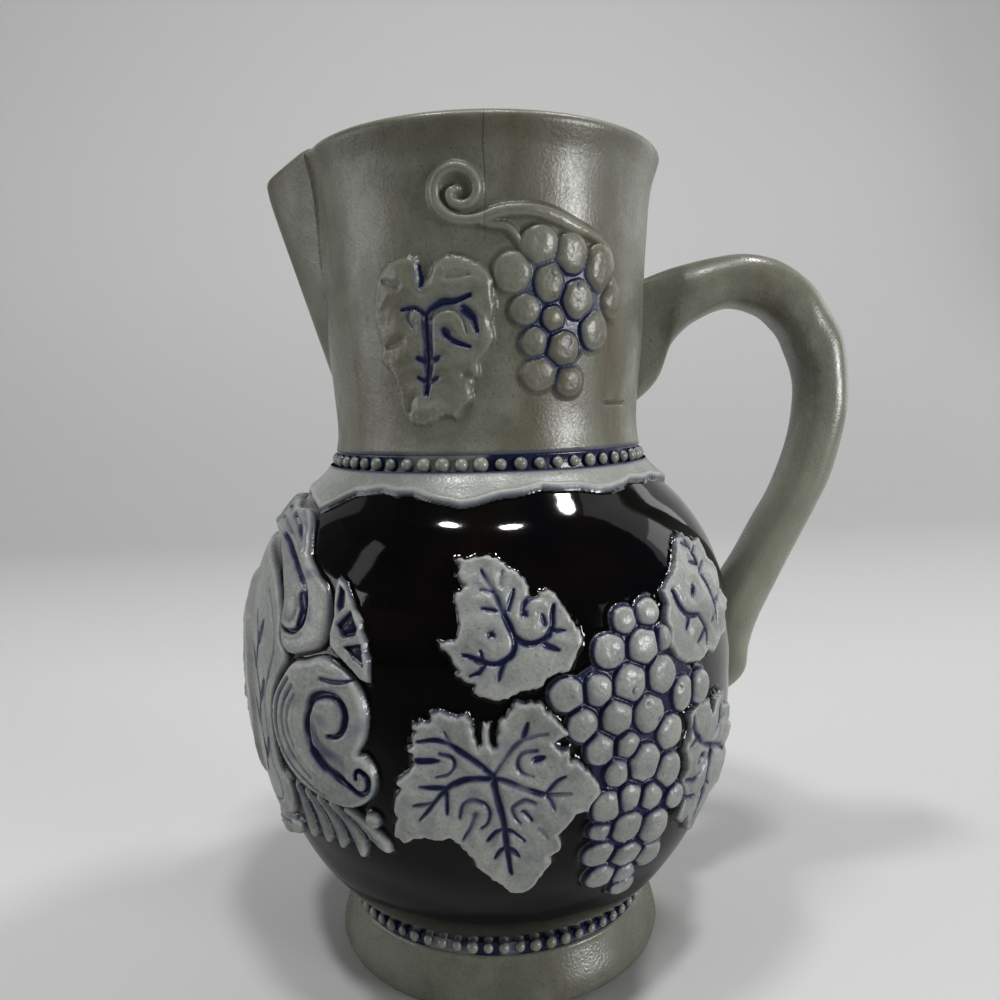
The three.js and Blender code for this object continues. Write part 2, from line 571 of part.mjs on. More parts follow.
const rightLowerLeaf = drawn([
  [129.8, 74], [131, 70], [128.6, 66.2], [129.6, 61.4], [128.4, 58.8], [130.4, 54.4], [128.2, 50.2],
  [130.6, 47.2], [132.6, 48.6], [135.6, 43.4], [138.4, 41.6], [140.8, 45.2], [142.6, 50], [146.2, 50.4],
  [149.6, 49.4], [149.4, 53.2], [152, 57], [150, 60.2], [152.4, 64.2], [149, 66], [149.6, 70.2],
  [145.4, 71.4],
  [144.4, 75.6], [140.4, 74.4], [138.8, 71.6], [136.8, 75.4], [133.2, 76],
]);
for (const [name, outline] of [["leaf_lower_front", lowerLeaf], ["leaf_upper_front", upperLeaf],
  ["leaf_upper_back", rightUpperLeaf], ["leaf_lower_back", rightLowerLeaf]]) {
  const leaf = stamp(outline, JOINT_GAP, SPRIG_THICK).subtract(bellyBunchRoom);
  addPair("belly_group", name, toGeometry(leaf), reliefStone);
}

const neckLeaf = drawn([
  [54, 172.7], [52.2, 171.2], [52.8, 169], [50.5, 165.4], [52.2, 160], [52.2, 155], [56.7, 152],
  [58.5, 147],
  [61, 144.4], [62, 141], [65, 139.8], [74, 141.8], [77.4, 145.3], [80.4, 147.6], [83.8, 145], [85.7, 150],
  [89.9, 156], [89.3, 160.4], [91, 163], [90.4, 167.6], [90.2, 171], [86.4, 172], [85.8, 175],
  [78.1, 175.7],
  [74, 173], [71.8, 170.6], [69.6, 173.8], [62.3, 176.6], [57.6, 176.4],
]);
addPair("neck_group", "neck_leaf",
  toGeometry(stamp(neckLeaf, JOINT_GAP, NECK_SPRIG_THICK).subtract(neckBunchRoom)), greyStone);

// Tendril: a thin coil that runs out into the stem over the grapes.
const tendrilRun = drawn([[80.6, 188.6], [83.6, 189.2], [84.2, 191], [82, 192.4], [78.2, 192.8],
  [75.2, 190.8],
  [75, 187.8], [78.6, 184.8], [85, 183.9], [92, 184.5], [100, 184.9], [107, 184.4]]);
addPair("neck_group", "neck_tendril",
  toGeometry(stamp(ribbon(tendrilRun, [0.5, 0.6, 0.6, 0.7, 0.7, 0.8, 0.8, 0.8, 0.8, 0.9, 0.9, 0.7]),
    JOINT_GAP, 1.5).subtract(neckBunchRoom)), greyStone);

// frame under the spout
// Raised field in the middle, a crest and a foot piece, and on both sides a pair of scrolls,
// a pierced fan, a spray of fronds and a drop. Each outline gives way to the ones named before it.
const volutePlate = drawn([[34.4, 118.1], [38.9, 115.3], [43.4, 110.3], [47.5, 108], [51.2, 105.4],
  [53.2, 101.3],
  [53.3, 97], [51.6, 93.4], [47.4, 91.2], [43.8, 89.4], [41.6, 90], [39.9, 92.6], [39, 97.6], [38, 101],
  [35, 105.4], [32.2, 108.4], [26, 111], [24.2, 112.6], [31, 114.6]]);
const scrollPlate = drawn([[43.6, 88.4], [48.4, 90.6], [53, 91], [56.4, 89.4], [60.1, 87.2],
  [62.4, 83.6], [62.9, 79],
  [61.9, 74.6], [61.4, 71.6], [63.4, 68], [63.4, 64.4], [61.4, 60.4], [56.8, 58.4], [48.6, 59.2],
  [41.2, 61.2],
  [37.2, 64.6], [35.2, 69.4], [35.4, 75.2], [37.6, 80.2]]);
const fanPlate = drawn([[53.9, 107.4], [55.9, 106.3], [58.9, 102.7], [61.3, 99.3], [62.8, 95.3],
  [63.8, 91.6],
  [63.7, 86.8], [60.8, 88.2], [57.4, 90.6], [54, 92.4], [54.2, 96], [54.8, 99.6], [54.2, 103.6]]);
const frondPlate = drawn([[39.6, 58.8], [41.4, 60.2], [48.6, 58.2], [56.8, 57.4], [59, 56.4], [61.8, 52.4],
  [64.2, 47.6], [61.2, 46.6], [59, 49], [58, 46.2], [55.2, 44.4], [53.2, 46.8], [50.2, 44.6], [46, 44.4],
  [42, 45.6], [39.4, 48.2], [37.2, 51], [38.8, 55.6]]);
const dropPlate = drawn(Array.from({ length: 8 }, (_, i) => [
  62.6 + 1.8 * Math.cos(i * Math.PI / 4), 56.4 + 1.9 * Math.sin(i * Math.PI / 4)]));
const both = (half) => drawn([...half, ...half.slice().reverse().map(([deg, z]) => [-deg, z])]);
const crestPlate = both([[0, 120.4], [8, 119.3], [13, 120.2], [20, 119], [28, 118.6], [32.6, 117.9],
  [30, 115.4], [24, 113.6], [14, 113], [6, 112], [0, 111.2]]);
const footPlate = both([[0, 41.8], [10, 42], [20, 43], [30, 45], [35.6, 47.8], [38.6, 46.6], [34, 42.4],
  [25, 38.6], [14, 36.6], [8, 33.6], [0, 31.6]]);
const panelPlate = both([[0, 110.5], [12, 110], [24, 107.6], [32, 104.6], [37.6, 98], [38.6, 92],
  [40.8, 88.6], [36.6, 83], [33.6, 76], [33.2, 68], [35, 61], [38, 56], [36, 50.5], [30, 46.4], [18, 43.6],
  [0, 42.8]]);
const fieldDome = both([[0, 101.8], [8, 101.4], [14, 98.6], [18.6, 93], [20, 84], [20.6, 74], [20, 64],
  [17.4, 55], [11, 48.4], [0, 45.4]]);

// The outline pushed outwards all round.
function grown(outline, by) {
  const perDegree = (z) => wallRadius(z) * Math.PI / 180;
  const flat = outline.map(([deg, z]) => new THREE.Vector2(deg * perDegree(z), z));
  const turn = THREE.ShapeUtils.area(flat) > 0 ? 1 : -1;
  return outline.map(([deg, z], i) => {
    const before = flat[(i + flat.length - 1) % flat.length];
    const after = flat[(i + 1) % flat.length];
    const run = after.clone().sub(before).normalize();
    return [deg + turn * run.y * by / perDegree(z), z - turn * run.x * by];
  });
}
const farSide = (outline) => outline.map(([deg, z]) => [-deg, z]).reverse();

// A plate with raised work on it that stays inside the plate's outline, clear of earlier plates.
function plate(outline, thick, raised = [], earlier = []) {
  let solid = stamp(outline, JOINT_GAP, thick);
  for (const [shape, rise] of raised) {
    solid = solid.add(stamp(shape, 0.6, rise).intersect(stamp(outline, 0.4, 6)));
  }
  for (const other of earlier) {
    solid = solid.subtract(stamp(grown(other, 0.36), 0, 8));
  }
  return solid;
}

const voluteBand = drawn([[31, 112.6], [38, 110], [45, 106], [49.4, 100.4], [48.4, 95.4], [42.6, 93.4]]);
const voluteEye = drawn([[39.6, 100], [41, 102.6], [43.8, 102.6], [45.2, 99.8], [43.6, 96.8], [41, 97]]);
addPair("frame_group", "frame_volute", toGeometry(plate(volutePlate, PANEL_THICK, [
  [ribbon(voluteBand, [0.8, 1.4, 1.9, 1.9, 1.7, 1]), SCROLL_THICK],
  [voluteEye, SCROLL_THICK],
])), reliefStone);

const scrollBand = drawn([[58, 61.6], [48, 61.8], [40.6, 66], [38.8, 73], [42.4, 81.6], [50, 87.4],
  [57, 86.6],
  [60.8, 80.6], [57.6, 73.4]]);
const scrollEye = drawn([[50.8, 78.4], [52.4, 81.4], [55.6, 81.4], [57.2, 78.4], [55.6, 75.4],
  [52.4, 75.4]]);
const curlEye = drawn([[58.6, 66.2], [60.2, 68.2], [62, 66], [60.4, 64.2]]);
addPair("frame_group", "frame_scroll", toGeometry(plate(scrollPlate, PANEL_THICK, [
  [ribbon(scrollBand, [1.2, 1.9, 2.4, 2.5, 2.4, 2.1, 1.9, 1.7, 1.2]), SCROLL_THICK],
  [scrollEye, SCROLL_THICK],
  [curlEye, SCROLL_THICK - 0.4],
], [volutePlate])), reliefStone);

const fanCells = [
  [[55.6, 105.2], [57.1, 103.6], [57.2, 102], [55.9, 101]],
  [[56, 97.6], [58.9, 101], [61, 97.2], [57.2, 96]],
  [[57.8, 93.8], [61.9, 94.8], [62.7, 90], [60.4, 91.2]],
];
let fan = plate(fanPlate, SCROLL_THICK - 0.7, [], [volutePlate, scrollPlate]);
for (const cell of fanCells) {
  fan = fan.subtract(stamp(drawn(cell), 1.0, SCROLL_THICK + 1));
}
addPair("frame_group", "frame_fan", toGeometry(fan), reliefStone);

const frondRibs = [[[42.5, 57.6], [43.6, 53], [42.4, 48.2]], [[47, 57.2], [49.6, 53], [49, 47]],
  [[51.6, 56.6], [54.6, 52.6], [54.6, 47.4]], [[55.6, 56], [59.2, 53], [61.6, 49]]];
const frondRaised = frondRibs.map((rib) => [ribbon(drawn(rib), [0.8, 1.1, 0.7]), SCROLL_THICK - 0.8]);
addPair("frame_group", "frame_frond", toGeometry(plate(frondPlate, 1.3, frondRaised, [scrollPlate])),
  reliefStone);
addPair("frame_group", "frame_drop", toGeometry(plate(dropPlate, 2, [], [frondPlate])), reliefStone);

const sides = (outline) => [outline, farSide(outline)];
add("frame_group", "frame_crest", toGeometry(plate(crestPlate, SCROLL_THICK - 0.6, [],
  sides(volutePlate))), reliefStone);
add("frame_group", "frame_foot_piece", toGeometry(plate(footPlate, SCROLL_THICK - 0.4, [],
  sides(frondPlate))), reliefStone);
add("frame_group", "frame_panel", toGeometry(plate(panelPlate, PANEL_THICK, [[fieldDome, FIELD_RISE]], [
  ...sides(volutePlate), ...sides(scrollPlate), ...sides(frondPlate), crestPlate, footPlate,
])), reliefStone);

export default pitcher;
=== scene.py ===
import math
import bpy
import bmesh
import numpy as np
from mathutils import Matrix, Vector


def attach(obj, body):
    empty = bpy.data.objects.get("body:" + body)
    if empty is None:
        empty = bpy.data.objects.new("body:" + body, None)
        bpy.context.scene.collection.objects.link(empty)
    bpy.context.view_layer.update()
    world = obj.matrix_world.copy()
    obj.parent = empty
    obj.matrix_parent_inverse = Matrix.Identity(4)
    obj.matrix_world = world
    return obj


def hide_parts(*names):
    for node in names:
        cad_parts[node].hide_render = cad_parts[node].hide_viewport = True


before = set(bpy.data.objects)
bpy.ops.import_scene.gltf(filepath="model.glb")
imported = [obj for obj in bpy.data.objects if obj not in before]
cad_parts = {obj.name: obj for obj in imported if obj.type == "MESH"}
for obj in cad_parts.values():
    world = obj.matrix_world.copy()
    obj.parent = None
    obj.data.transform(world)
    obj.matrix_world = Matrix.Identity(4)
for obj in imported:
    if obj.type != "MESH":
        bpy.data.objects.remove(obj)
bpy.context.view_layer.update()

# Foot: a flared ring of grey stoneware with the flat floor of the pot in it. It is turned on the wheel
# with the pot, which stands on it, and is salt glazed like the neck.
MM = 0.001
WALL_THICK = 4.5
WALL_CURVE = np.array([  # height, outer radius
    [0, 44.1], [4, 43.6], [9, 42], [12.8, 41], [17, 41.6], [20, 44.4], [25, 48.4], [32, 53.0], [42, 57.8],
    [52, 61.0], [62, 62.6], [76, 63.2], [84, 63.0], [94, 62.2], [104, 59.5], [112, 55.4], [118, 51.0],
    [123, 45.8], [128, 41.0], [132.6, 40.2], [137, 39.6], [145, 39.8], [160, 40.9], [175, 41.6],
    [186, 42.5], [193, 43.1], [198, 43.9], [201.6, 45.0], [205, 46.0]])
FOOT_TOP = 12.8
BELLY_FROM, BELLY_TO = 16.6, 128.2
NECK_FROM, RIM_TOP = 132.6, 205.0


def wall(z):
    """Outer radius of the pot at a height, and how it leans there (radius per millimetre of height)."""
    z = np.asarray(z, float)
    zs, rs = WALL_CURVE.T
    slope = np.empty(len(zs))
    slope[1:-1] = (rs[2:] - rs[:-2]) / (zs[2:] - zs[:-2])
    slope[0] = (rs[1] - rs[0]) / (zs[1] - zs[0])
    slope[-1] = (rs[-1] - rs[-2]) / (zs[-1] - zs[-2])
    i = np.clip(np.searchsorted(zs, z, side="right") - 1, 0, len(zs) - 2)
    span = zs[i + 1] - zs[i]
    u = np.clip((z - zs[i]) / span, 0, 1)
    radius = ((2 * u**3 - 3 * u**2 + 1) * rs[i] + (u**3 - 2 * u**2 + u) * span * slope[i]
              + (3 * u**2 - 2 * u**3) * rs[i + 1] + (u**3 - u**2) * span * slope[i + 1])
    lean = ((6 * u**2 - 6 * u) * (rs[i] - rs[i + 1]) / span + (3 * u**2 - 4 * u + 1) * slope[i]
            + (3 * u**2 - 2 * u) * slope[i + 1])
    return radius, lean


PALE_COBALT, DEEP_COBALT = (0.082, 0.102, 0.180), (0.009, 0.013, 0.050)
BLACK_GLAZE, BROWN_GLAZE = (0.0014, 0.0014, 0.0020), (0.0046, 0.0028, 0.0023)
DARK_GLAZE_ROUGHNESS = 0.06
HAIRLINE_FROM, HAIRLINE_FULL = 0.172, 0.190


def shade(colour, level):
    return tuple(c * level for c in colour)


def glaze(name, light, dark, stain, rough, grain=1.0, stains=0.5, specks=0.5, hairline=0.0, patchy=False):
    """Salt glaze over stone: mottled colour, brown stains, fine specks and orange peel. The attribute
    cobalt paints blue into it and dark turns it into the glossy brown-black glaze. A further mark browns
    and darkens it, partly for grime and partly as painted shade in creases, in grooves and under the lip.
    Another mark pales it, partly for wear and partly as painted light on tops, on ridges and on the lower
    handle. A hairline is a fine dark crack at that distance from the middle, near the rim."""
    mat = bpy.data.materials.new(name)
    mat.use_nodes = True
    tree = mat.node_tree
    tree.nodes.clear()
    link = tree.links.new

    def node(kind, **settings):
        made = tree.nodes.new(kind)
        for key, value in settings.items():
            setattr(made, key, value)
        return made

    def feed(socket, value):
        if isinstance(value, bpy.types.NodeSocket):
            link(value, socket)
        else:
            socket.default_value = (*value, 1) if isinstance(value, tuple) else value

    place = node("ShaderNodeTexCoord").outputs["Object"]

    def noise(scale, detail=2.0, stretch=None, roughness=0.5):
        texture = node("ShaderNodeTexNoise")
        texture.inputs["Scale"].default_value = scale
        texture.inputs["Detail"].default_value = detail
        texture.inputs["Roughness"].default_value = roughness
        where = place
        if stretch:
            mapping = node("ShaderNodeMapping")
            mapping.inputs["Scale"].default_value = stretch
            link(place, mapping.inputs["Vector"])
            where = mapping.outputs["Vector"]
        link(where, texture.inputs["Vector"])
        return texture.outputs["Fac"]

    def ramp(value, low, high):
        smooth = node("ShaderNodeMapRange", interpolation_type="SMOOTHSTEP")
        smooth.inputs["From Min"].default_value = low
        smooth.inputs["From Max"].default_value = high
        link(value, smooth.inputs["Value"])
        return smooth.outputs["Result"]

    def reckon(how, a, b):
        made = node("ShaderNodeMath", operation=how)
        feed(made.inputs[0], a)
        feed(made.inputs[1], b)
        return made.outputs[0]

    def times(a, b):
        return reckon("MULTIPLY", a, b)

    def plus(a, b):
        return reckon("ADD", a, b)

    def blend(factor, a, b):
        mix = node("ShaderNodeMix", data_type="RGBA")
        link(factor, mix.inputs[0])
        feed(mix.inputs[6], a)
        feed(mix.inputs[7], b)
        return mix.outputs[2]

    def mark(attribute):
        return node("ShaderNodeAttribute", attribute_name=attribute).outputs["Fac"]

    cloud = ramp(noise(75, 4, roughness=0.6), 0.32, 0.68)
    drip = ramp(noise(60, 5, stretch=(1, 1, 0.22), roughness=0.62), 0.48, 0.72)
    mottle = ramp(noise(1300, 2, roughness=0.7), 0.3, 0.72)
    speck = ramp(noise(2400, 1), 0.64, 0.73)
    colour = blend(cloud, light, dark)
    colour = blend(times(drip, stains), colour, stain)
    colour = blend(times(mottle, 0.26 * grain), colour, shade(dark, 0.4))
    colour = blend(times(speck, specks), colour, shade(stain, 0.25))
    # Painted shade and painted light: the next mark browns and darkens the colour, partly for grime and
    # partly as painted shade. The one after pales it, partly for wear and partly as painted light.
    colour = blend(times(mark("dirt_and_painted_shade"), 0.6), colour, shade(stain, 0.55))
    colour = blend(times(mark("wear_and_painted_light"), 0.7), colour, shade(light, 1.55))
    blue = mark("cobalt")
    if patchy:
        blue = times(blue, plus(ramp(noise(52, 2), 0.36, 0.56), 0.30))
    cobalt = blend(ramp(blue, 0.25, 0.75), PALE_COBALT, DEEP_COBALT)
    colour = blend(ramp(blue, 0.04, 0.70), colour, cobalt)
    black = mark("dark")
    pool = blend(ramp(noise(38, 3), 0.42, 0.75), BLACK_GLAZE, BROWN_GLAZE)
    colour = blend(black, colour, pool)
    if hairline:
        parts = node("ShaderNodeSeparateXYZ")
        link(place, parts.inputs[0])
        x, y, z = parts.outputs
        wander = times(reckon("SUBTRACT", noise(90, 2), 0.5), 0.0016)
        off = reckon("ABSOLUTE", plus(plus(x, hairline), wander), 0)
        line = times(ramp(off, 0.00016, 0.00005), ramp(z, HAIRLINE_FROM, HAIRLINE_FULL))
        line = times(line, reckon("LESS_THAN", y, 0.0))
        colour = blend(times(line, 0.7), colour, shade(stain, 0.3))

    sheen = node("ShaderNodeMapRange")
    sheen.inputs["To Min"].default_value = rough - 0.08
    sheen.inputs["To Max"].default_value = rough + 0.12
    link(plus(times(cloud, 0.5), times(mottle, 0.5)), sheen.inputs["Value"])
    wet = node("ShaderNodeMix", data_type="FLOAT")
    link(black, wet.inputs[0])
    link(sheen.outputs["Result"], wet.inputs[2])
    wet.inputs[3].default_value = DARK_GLAZE_ROUGHNESS

    peel = plus(times(noise(400, 2), 0.28), times(noise(1500, 1), 0.42 * grain))
    peel = times(peel, reckon("SUBTRACT", 1.0, times(black, 0.94)))
    ripple = times(plus(noise(55, 1), times(noise(190, 1), 0.30)), black)
    bump = node("ShaderNodeBump")
    bump.inputs["Strength"].default_value = 0.6
    bump.inputs["Distance"].default_value = 0.00021
    link(plus(peel, ripple), bump.inputs["Height"])

    shader = node("ShaderNodeBsdfPrincipled")
    shader.inputs["IOR"].default_value = 1.5
    link(colour, shader.inputs["Base Color"])
    link(wet.outputs[0], shader.inputs["Roughness"])
    link(bump.outputs["Normal"], shader.inputs["Normal"])
    out = node("ShaderNodeOutputMaterial")
    link(shader.outputs["BSDF"], out.inputs["Surface"])
    return mat


stone_glaze = glaze("stone_glaze", light=(0.234, 0.242, 0.191), dark=(0.158, 0.161, 0.122),
                    stain=(0.112, 0.094, 0.062), rough=0.26, grain=1.2, stains=0.75, specks=0.45)


def piece(name, points, faces, material, replaces=(), marks=None):
    """A smooth mesh piece from points in millimetres, with its marks kept as attributes."""
    mesh = bpy.data.meshes.new(name)
    mesh.from_pydata((points * MM).tolist(), [], faces if isinstance(faces, list) else faces.tolist())
    for key, values in (marks or {}).items():
        mesh.attributes.new(key, "FLOAT", "POINT").data.foreach_set("value", np.asarray(values, np.float32))
    mesh.materials.append(material)
    mesh.polygons.foreach_set("use_smooth", np.ones(len(mesh.polygons), bool))
    mesh.update()
    obj = bpy.data.objects.new(name, mesh)
    bpy.context.collection.objects.link(obj)
    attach(obj, "root")
    if replaces:
        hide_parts(*replaces)
    return obj


def lattice(rows, columns, close_rows=False, close_columns=False):
    """Quads over a grid of points, numbered row by row."""
    i = np.arange(rows if close_rows else rows - 1)[:, None]
    j = np.arange(columns if close_columns else columns - 1)
    i2, j2 = (i + 1) % rows, (j + 1) % columns
    corners = i * columns + j, i * columns + j2, i2 * columns + j2, i2 * columns + j
    return np.stack(corners, -1).reshape(-1, 4)


def face_outwards(obj):
    """Closes the seams of a piece and turns all its faces outwards."""
    bm = bmesh.new()
    bm.from_mesh(obj.data)
    bmesh.ops.remove_doubles(bm, verts=bm.verts, dist=1e-6)
    bmesh.ops.dissolve_degenerate(bm, edges=bm.edges, dist=1e-7)
    bmesh.ops.recalc_face_normals(bm, faces=bm.faces)
    bm.to_mesh(obj.data)
    bm.free()


def turned(name, profile, material, replaces=(), steps=192, marks=None):
    """A turned piece from a closed run of (radius, height) going round anticlockwise."""
    profile = np.array(profile, float)
    a = np.linspace(0, 2 * math.pi, steps, endpoint=False)
    points = np.stack([profile[:, :1] * np.cos(a), profile[:, :1] * np.sin(a), profile[:, 1:] + 0 * a], -1)
    marks = {k: np.repeat(v, steps) for k, v in (marks or {}).items()}
    obj = piece(name, points.reshape(-1, 3), lattice(len(profile), steps, True, True), material,
                replaces, marks)
    face_outwards(obj)
    return obj


ON_AXIS = 0.001  # a hair's breadth, so that the points round it merge into one
foot_z = np.linspace(2.4, FOOT_TOP, 14)
foot_outside = list(zip(wall(foot_z)[0], foot_z))
foot_under = [(ON_AXIS, 0), (20, 0), (38, 0), (41.6, 0.0), (42.9, 0.15), (43.8, 0.7), (44.1, 1.5)]
foot_inside = [(38, FOOT_TOP), (36.6, FOOT_TOP), (36.4, 9), (35, 6.8), (31, 6), (15, 5.6), (ON_AXIS, 5.5)]
turned("foot_and_floor", foot_under + foot_outside + foot_inside, stone_glaze,
       ["foot_collar", "base_floor"])

# Bead rows: one between foot and belly, one between belly and neck. Each is a band of clay pressed
# into round beads, with cobalt blue brushed into the ground between them.
bead_glaze = glaze("bead_glaze", light=(0.285, 0.300, 0.260), dark=(0.200, 0.210, 0.180),
                   stain=(0.10, 0.088, 0.062), rough=0.24, grain=0.6, stains=0.35, specks=0.3, patchy=True)
BEAD_ROWS = [  # name, node, beads, radius of the ground, lower and upper edge, half sizes of a bead
    ("foot_bead_row", "foot_bead_band", 67, 40.3, FOOT_TOP, BELLY_FROM, (1.45, 1.42, 1.50)),
    ("neck_bead_row", "neck_bead_band", 57, 39.8, BELLY_TO, NECK_FROM, (1.65, 1.62, 1.66)),
]
BAND_OUTER, BAND_INNER, BAND_HOLLOW = 38, 36, 0.35
SMALLEST_BEAD, LARGEST_BEAD, BEAD_SEED = 0.84, 1.08, 11
BEAD_BLUE_FROM, BEAD_BLUE_FULL = 0.62, -0.05  # outward from the middle of a bead, in radii


def bead_tree(name, material):
    """Adds a row of beads to the band that it is given: one bead on every corner of a circle, each a
    little different in size, blue at its root and grey on its crown."""
    tree = bpy.data.node_groups.new(name, "GeometryNodeTree")
    tree.interface.new_socket("Geometry", in_out="INPUT", socket_type="NodeSocketGeometry")
    for label, kind in (("Beads", "NodeSocketInt"), ("Row Radius", "NodeSocketFloat"),
                        ("Row Height", "NodeSocketFloat"), ("Bead Size", "NodeSocketVector")):
        tree.interface.new_socket(label, in_out="INPUT", socket_type=kind)
    tree.interface.new_socket("Geometry", in_out="OUTPUT", socket_type="NodeSocketGeometry")
    new = tree.nodes.new
    link = tree.links.new
    given = new("NodeGroupInput")

    circle = new("GeometryNodeMeshCircle")
    link(given.outputs["Beads"], circle.inputs["Vertices"])
    link(given.outputs["Row Radius"], circle.inputs["Radius"])
    lift = new("ShaderNodeCombineXYZ")
    link(given.outputs["Row Height"], lift.inputs["Z"])
    raised = new("GeometryNodeSetPosition")
    link(circle.outputs["Mesh"], raised.inputs["Geometry"])
    link(lift.outputs["Vector"], raised.inputs["Offset"])

    bead = new("GeometryNodeMeshIcoSphere")
    bead.inputs["Radius"].default_value = 1.0
    bead.inputs["Subdivisions"].default_value = 3
    bead_place = new("GeometryNodeInputPosition")
    bead_parts = new("ShaderNodeSeparateXYZ")
    link(bead_place.outputs["Position"], bead_parts.inputs["Vector"])
    root = new("ShaderNodeMapRange")
    root.inputs["From Min"].default_value = BEAD_BLUE_FROM
    root.inputs["From Max"].default_value = BEAD_BLUE_FULL
    link(bead_parts.outputs["X"], root.inputs["Value"])
    painted = new("GeometryNodeStoreNamedAttribute")
    painted.data_type = "FLOAT"
    painted.inputs["Name"].default_value = "cobalt"
    link(bead.outputs["Mesh"], painted.inputs["Geometry"])
    link(root.outputs["Result"], painted.inputs["Value"])

    spot = new("GeometryNodeInputPosition")
    spot_parts = new("ShaderNodeSeparateXYZ")
    link(spot.outputs["Position"], spot_parts.inputs["Vector"])
    turn = new("ShaderNodeMath")
    turn.operation = "ARCTAN2"
    link(spot_parts.outputs["Y"], turn.inputs[0])
    link(spot_parts.outputs["X"], turn.inputs[1])
    facing = new("ShaderNodeCombineXYZ")
    link(turn.outputs[0], facing.inputs["Z"])
    vary = new("FunctionNodeRandomValue")
    vary.data_type = "FLOAT"
    vary.inputs[2].default_value = SMALLEST_BEAD
    vary.inputs[3].default_value = LARGEST_BEAD
    vary.inputs["Seed"].default_value = BEAD_SEED
    size = new("ShaderNodeVectorMath")
    size.operation = "SCALE"
    link(given.outputs["Bead Size"], size.inputs[0])
    link(vary.outputs[1], size.inputs["Scale"])
    row = new("GeometryNodeInstanceOnPoints")
    link(raised.outputs["Geometry"], row.inputs["Points"])
    link(painted.outputs["Geometry"], row.inputs["Instance"])
    link(facing.outputs["Vector"], row.inputs["Rotation"])
    link(size.outputs["Vector"], row.inputs["Scale"])

    joined = new("GeometryNodeJoinGeometry")
    link(row.outputs["Instances"], joined.inputs["Geometry"])
    link(given.outputs["Geometry"], joined.inputs["Geometry"])
    real = new("GeometryNodeRealizeInstances")
    link(joined.outputs["Geometry"], real.inputs["Geometry"])
    coated = new("GeometryNodeSetMaterial")
    coated.inputs["Material"].default_value = material
    link(real.outputs["Geometry"], coated.inputs["Geometry"])
    link(coated.outputs["Geometry"], new("NodeGroupOutput").inputs["Geometry"])
    return tree


bead_nodes = bead_tree("row_of_beads", bead_glaze)
bead_sockets = {s.name: s.identifier for s in bead_nodes.interface.items_tree if s.in_out == "INPUT"}
for name, node_name, beads, ground, low, high, size in BEAD_ROWS:
    face = [(ground + BAND_HOLLOW * abs(2 * u - 1) ** 3, low + (high - low) * u)
            for u in np.linspace(0, 1, 9)]
    back = [(BAND_OUTER, high), (BAND_INNER, high), (BAND_INNER, low), (BAND_OUTER, low)]
    band = turned(name + "_ground", face + back, bead_glaze,
                  marks={"cobalt": [0.95] * len(face) + [0.0] * len(back)})
    modifier = band.modifiers.new("beads", "NODES")
    modifier.node_group = bead_nodes
    modifier[bead_sockets["Beads"]] = beads
    modifier[bead_sockets["Row Radius"]] = (ground + 0.1) * MM
    modifier[bead_sockets["Row Height"]] = (low + high) / 2 * MM
    modifier[bead_sockets["Bead Size"]] = tuple(s * MM for s in size)
    bpy.context.view_layer.update()
    beaded_mesh = bpy.data.meshes.new_from_object(band.evaluated_get(bpy.context.evaluated_depsgraph_get()))
    band.modifiers.clear()
    bpy.data.objects.remove(band)
    beaded_mesh.polygons.foreach_set("use_smooth", np.ones(len(beaded_mesh.polygons), bool))
    beaded = bpy.data.objects.new(name, beaded_mesh)
    bpy.context.collection.objects.link(beaded)
    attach(beaded, "root")
    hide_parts(node_name)

# Belly: the round thrown wall of the pot. Its ground is a thick brown-black glaze, very glossy, that
# dips and swells a little over the throwing rings.


def wave(deg, z):
    """Slow swelling of the thrown surface of belly and neck, in millimetres."""
    a = np.radians(deg)
    belly = np.clip((z - BELLY_FROM) / 8, 0, 1) * np.clip((BELLY_TO - z) / 8, 0, 1)
    neck = np.clip((z - NECK_FROM) / 10, 0, 1) * np.clip((RIM_TOP - z) / 10, 0, 1)
    return (belly * (0.10 * np.sin(3 * a + z * 0.07) + 0.07 * np.sin(7 * a - z * 0.16 + 1)
                     + 0.06 * np.sin(z * 0.42 + 2 * a))
            + neck * (0.12 * np.sin(2 * a + z * 0.09) + 0.08 * np.sin(5 * a - z * 0.13 + 2)))


def on_wall(deg, z, lift=0.0):
    """Points on the pot's wall, lifted square to it, in millimetres. The spout is at 0 degrees, the
    photographed side at 90 and the handle at 180."""
    deg, z = np.broadcast_arrays(np.asarray(deg, float), np.asarray(z, float))
    r, lean = wall(z)
    lift = lift + wave(deg, z)
    slant = np.hypot(1, lean)
    a = np.radians(deg)
    r = r + lift / slant
    return np.stack([-r * np.cos(a), -r * np.sin(a), z - lift * lean / slant], -1)


belly_deg = np.linspace(-180, 180, 288, endpoint=False)
belly_z = np.linspace(BELLY_FROM, BELLY_TO, 100)
inner_z = np.linspace(BELLY_TO, BELLY_FROM, 40)
INNER_AT_FOOT, INNER_AT_NECK = 36.5, 35.7
outer = on_wall(belly_deg, belly_z[:, None])
wall_r, wall_lean = wall(inner_z)
inner_r = np.maximum(wall_r - WALL_THICK * np.hypot(1, wall_lean),
                     np.where(inner_z < 100, INNER_AT_FOOT, INNER_AT_NECK))
a = np.radians(belly_deg)
inner = np.stack([-inner_r[:, None] * np.cos(a), -inner_r[:, None] * np.sin(a),
                  inner_z[:, None] + 0 * a], -1)
belly_points = np.concatenate([outer, inner]).reshape(-1, 3)
belly_black = np.concatenate([np.ones(outer.shape[:2]), np.zeros(inner.shape[:2])]).ravel()
piece("belly_wall", belly_points, lattice(len(belly_z) + len(inner_z), len(belly_deg), True, True),
      stone_glaze, ["belly_shell"], {"dark": belly_black})

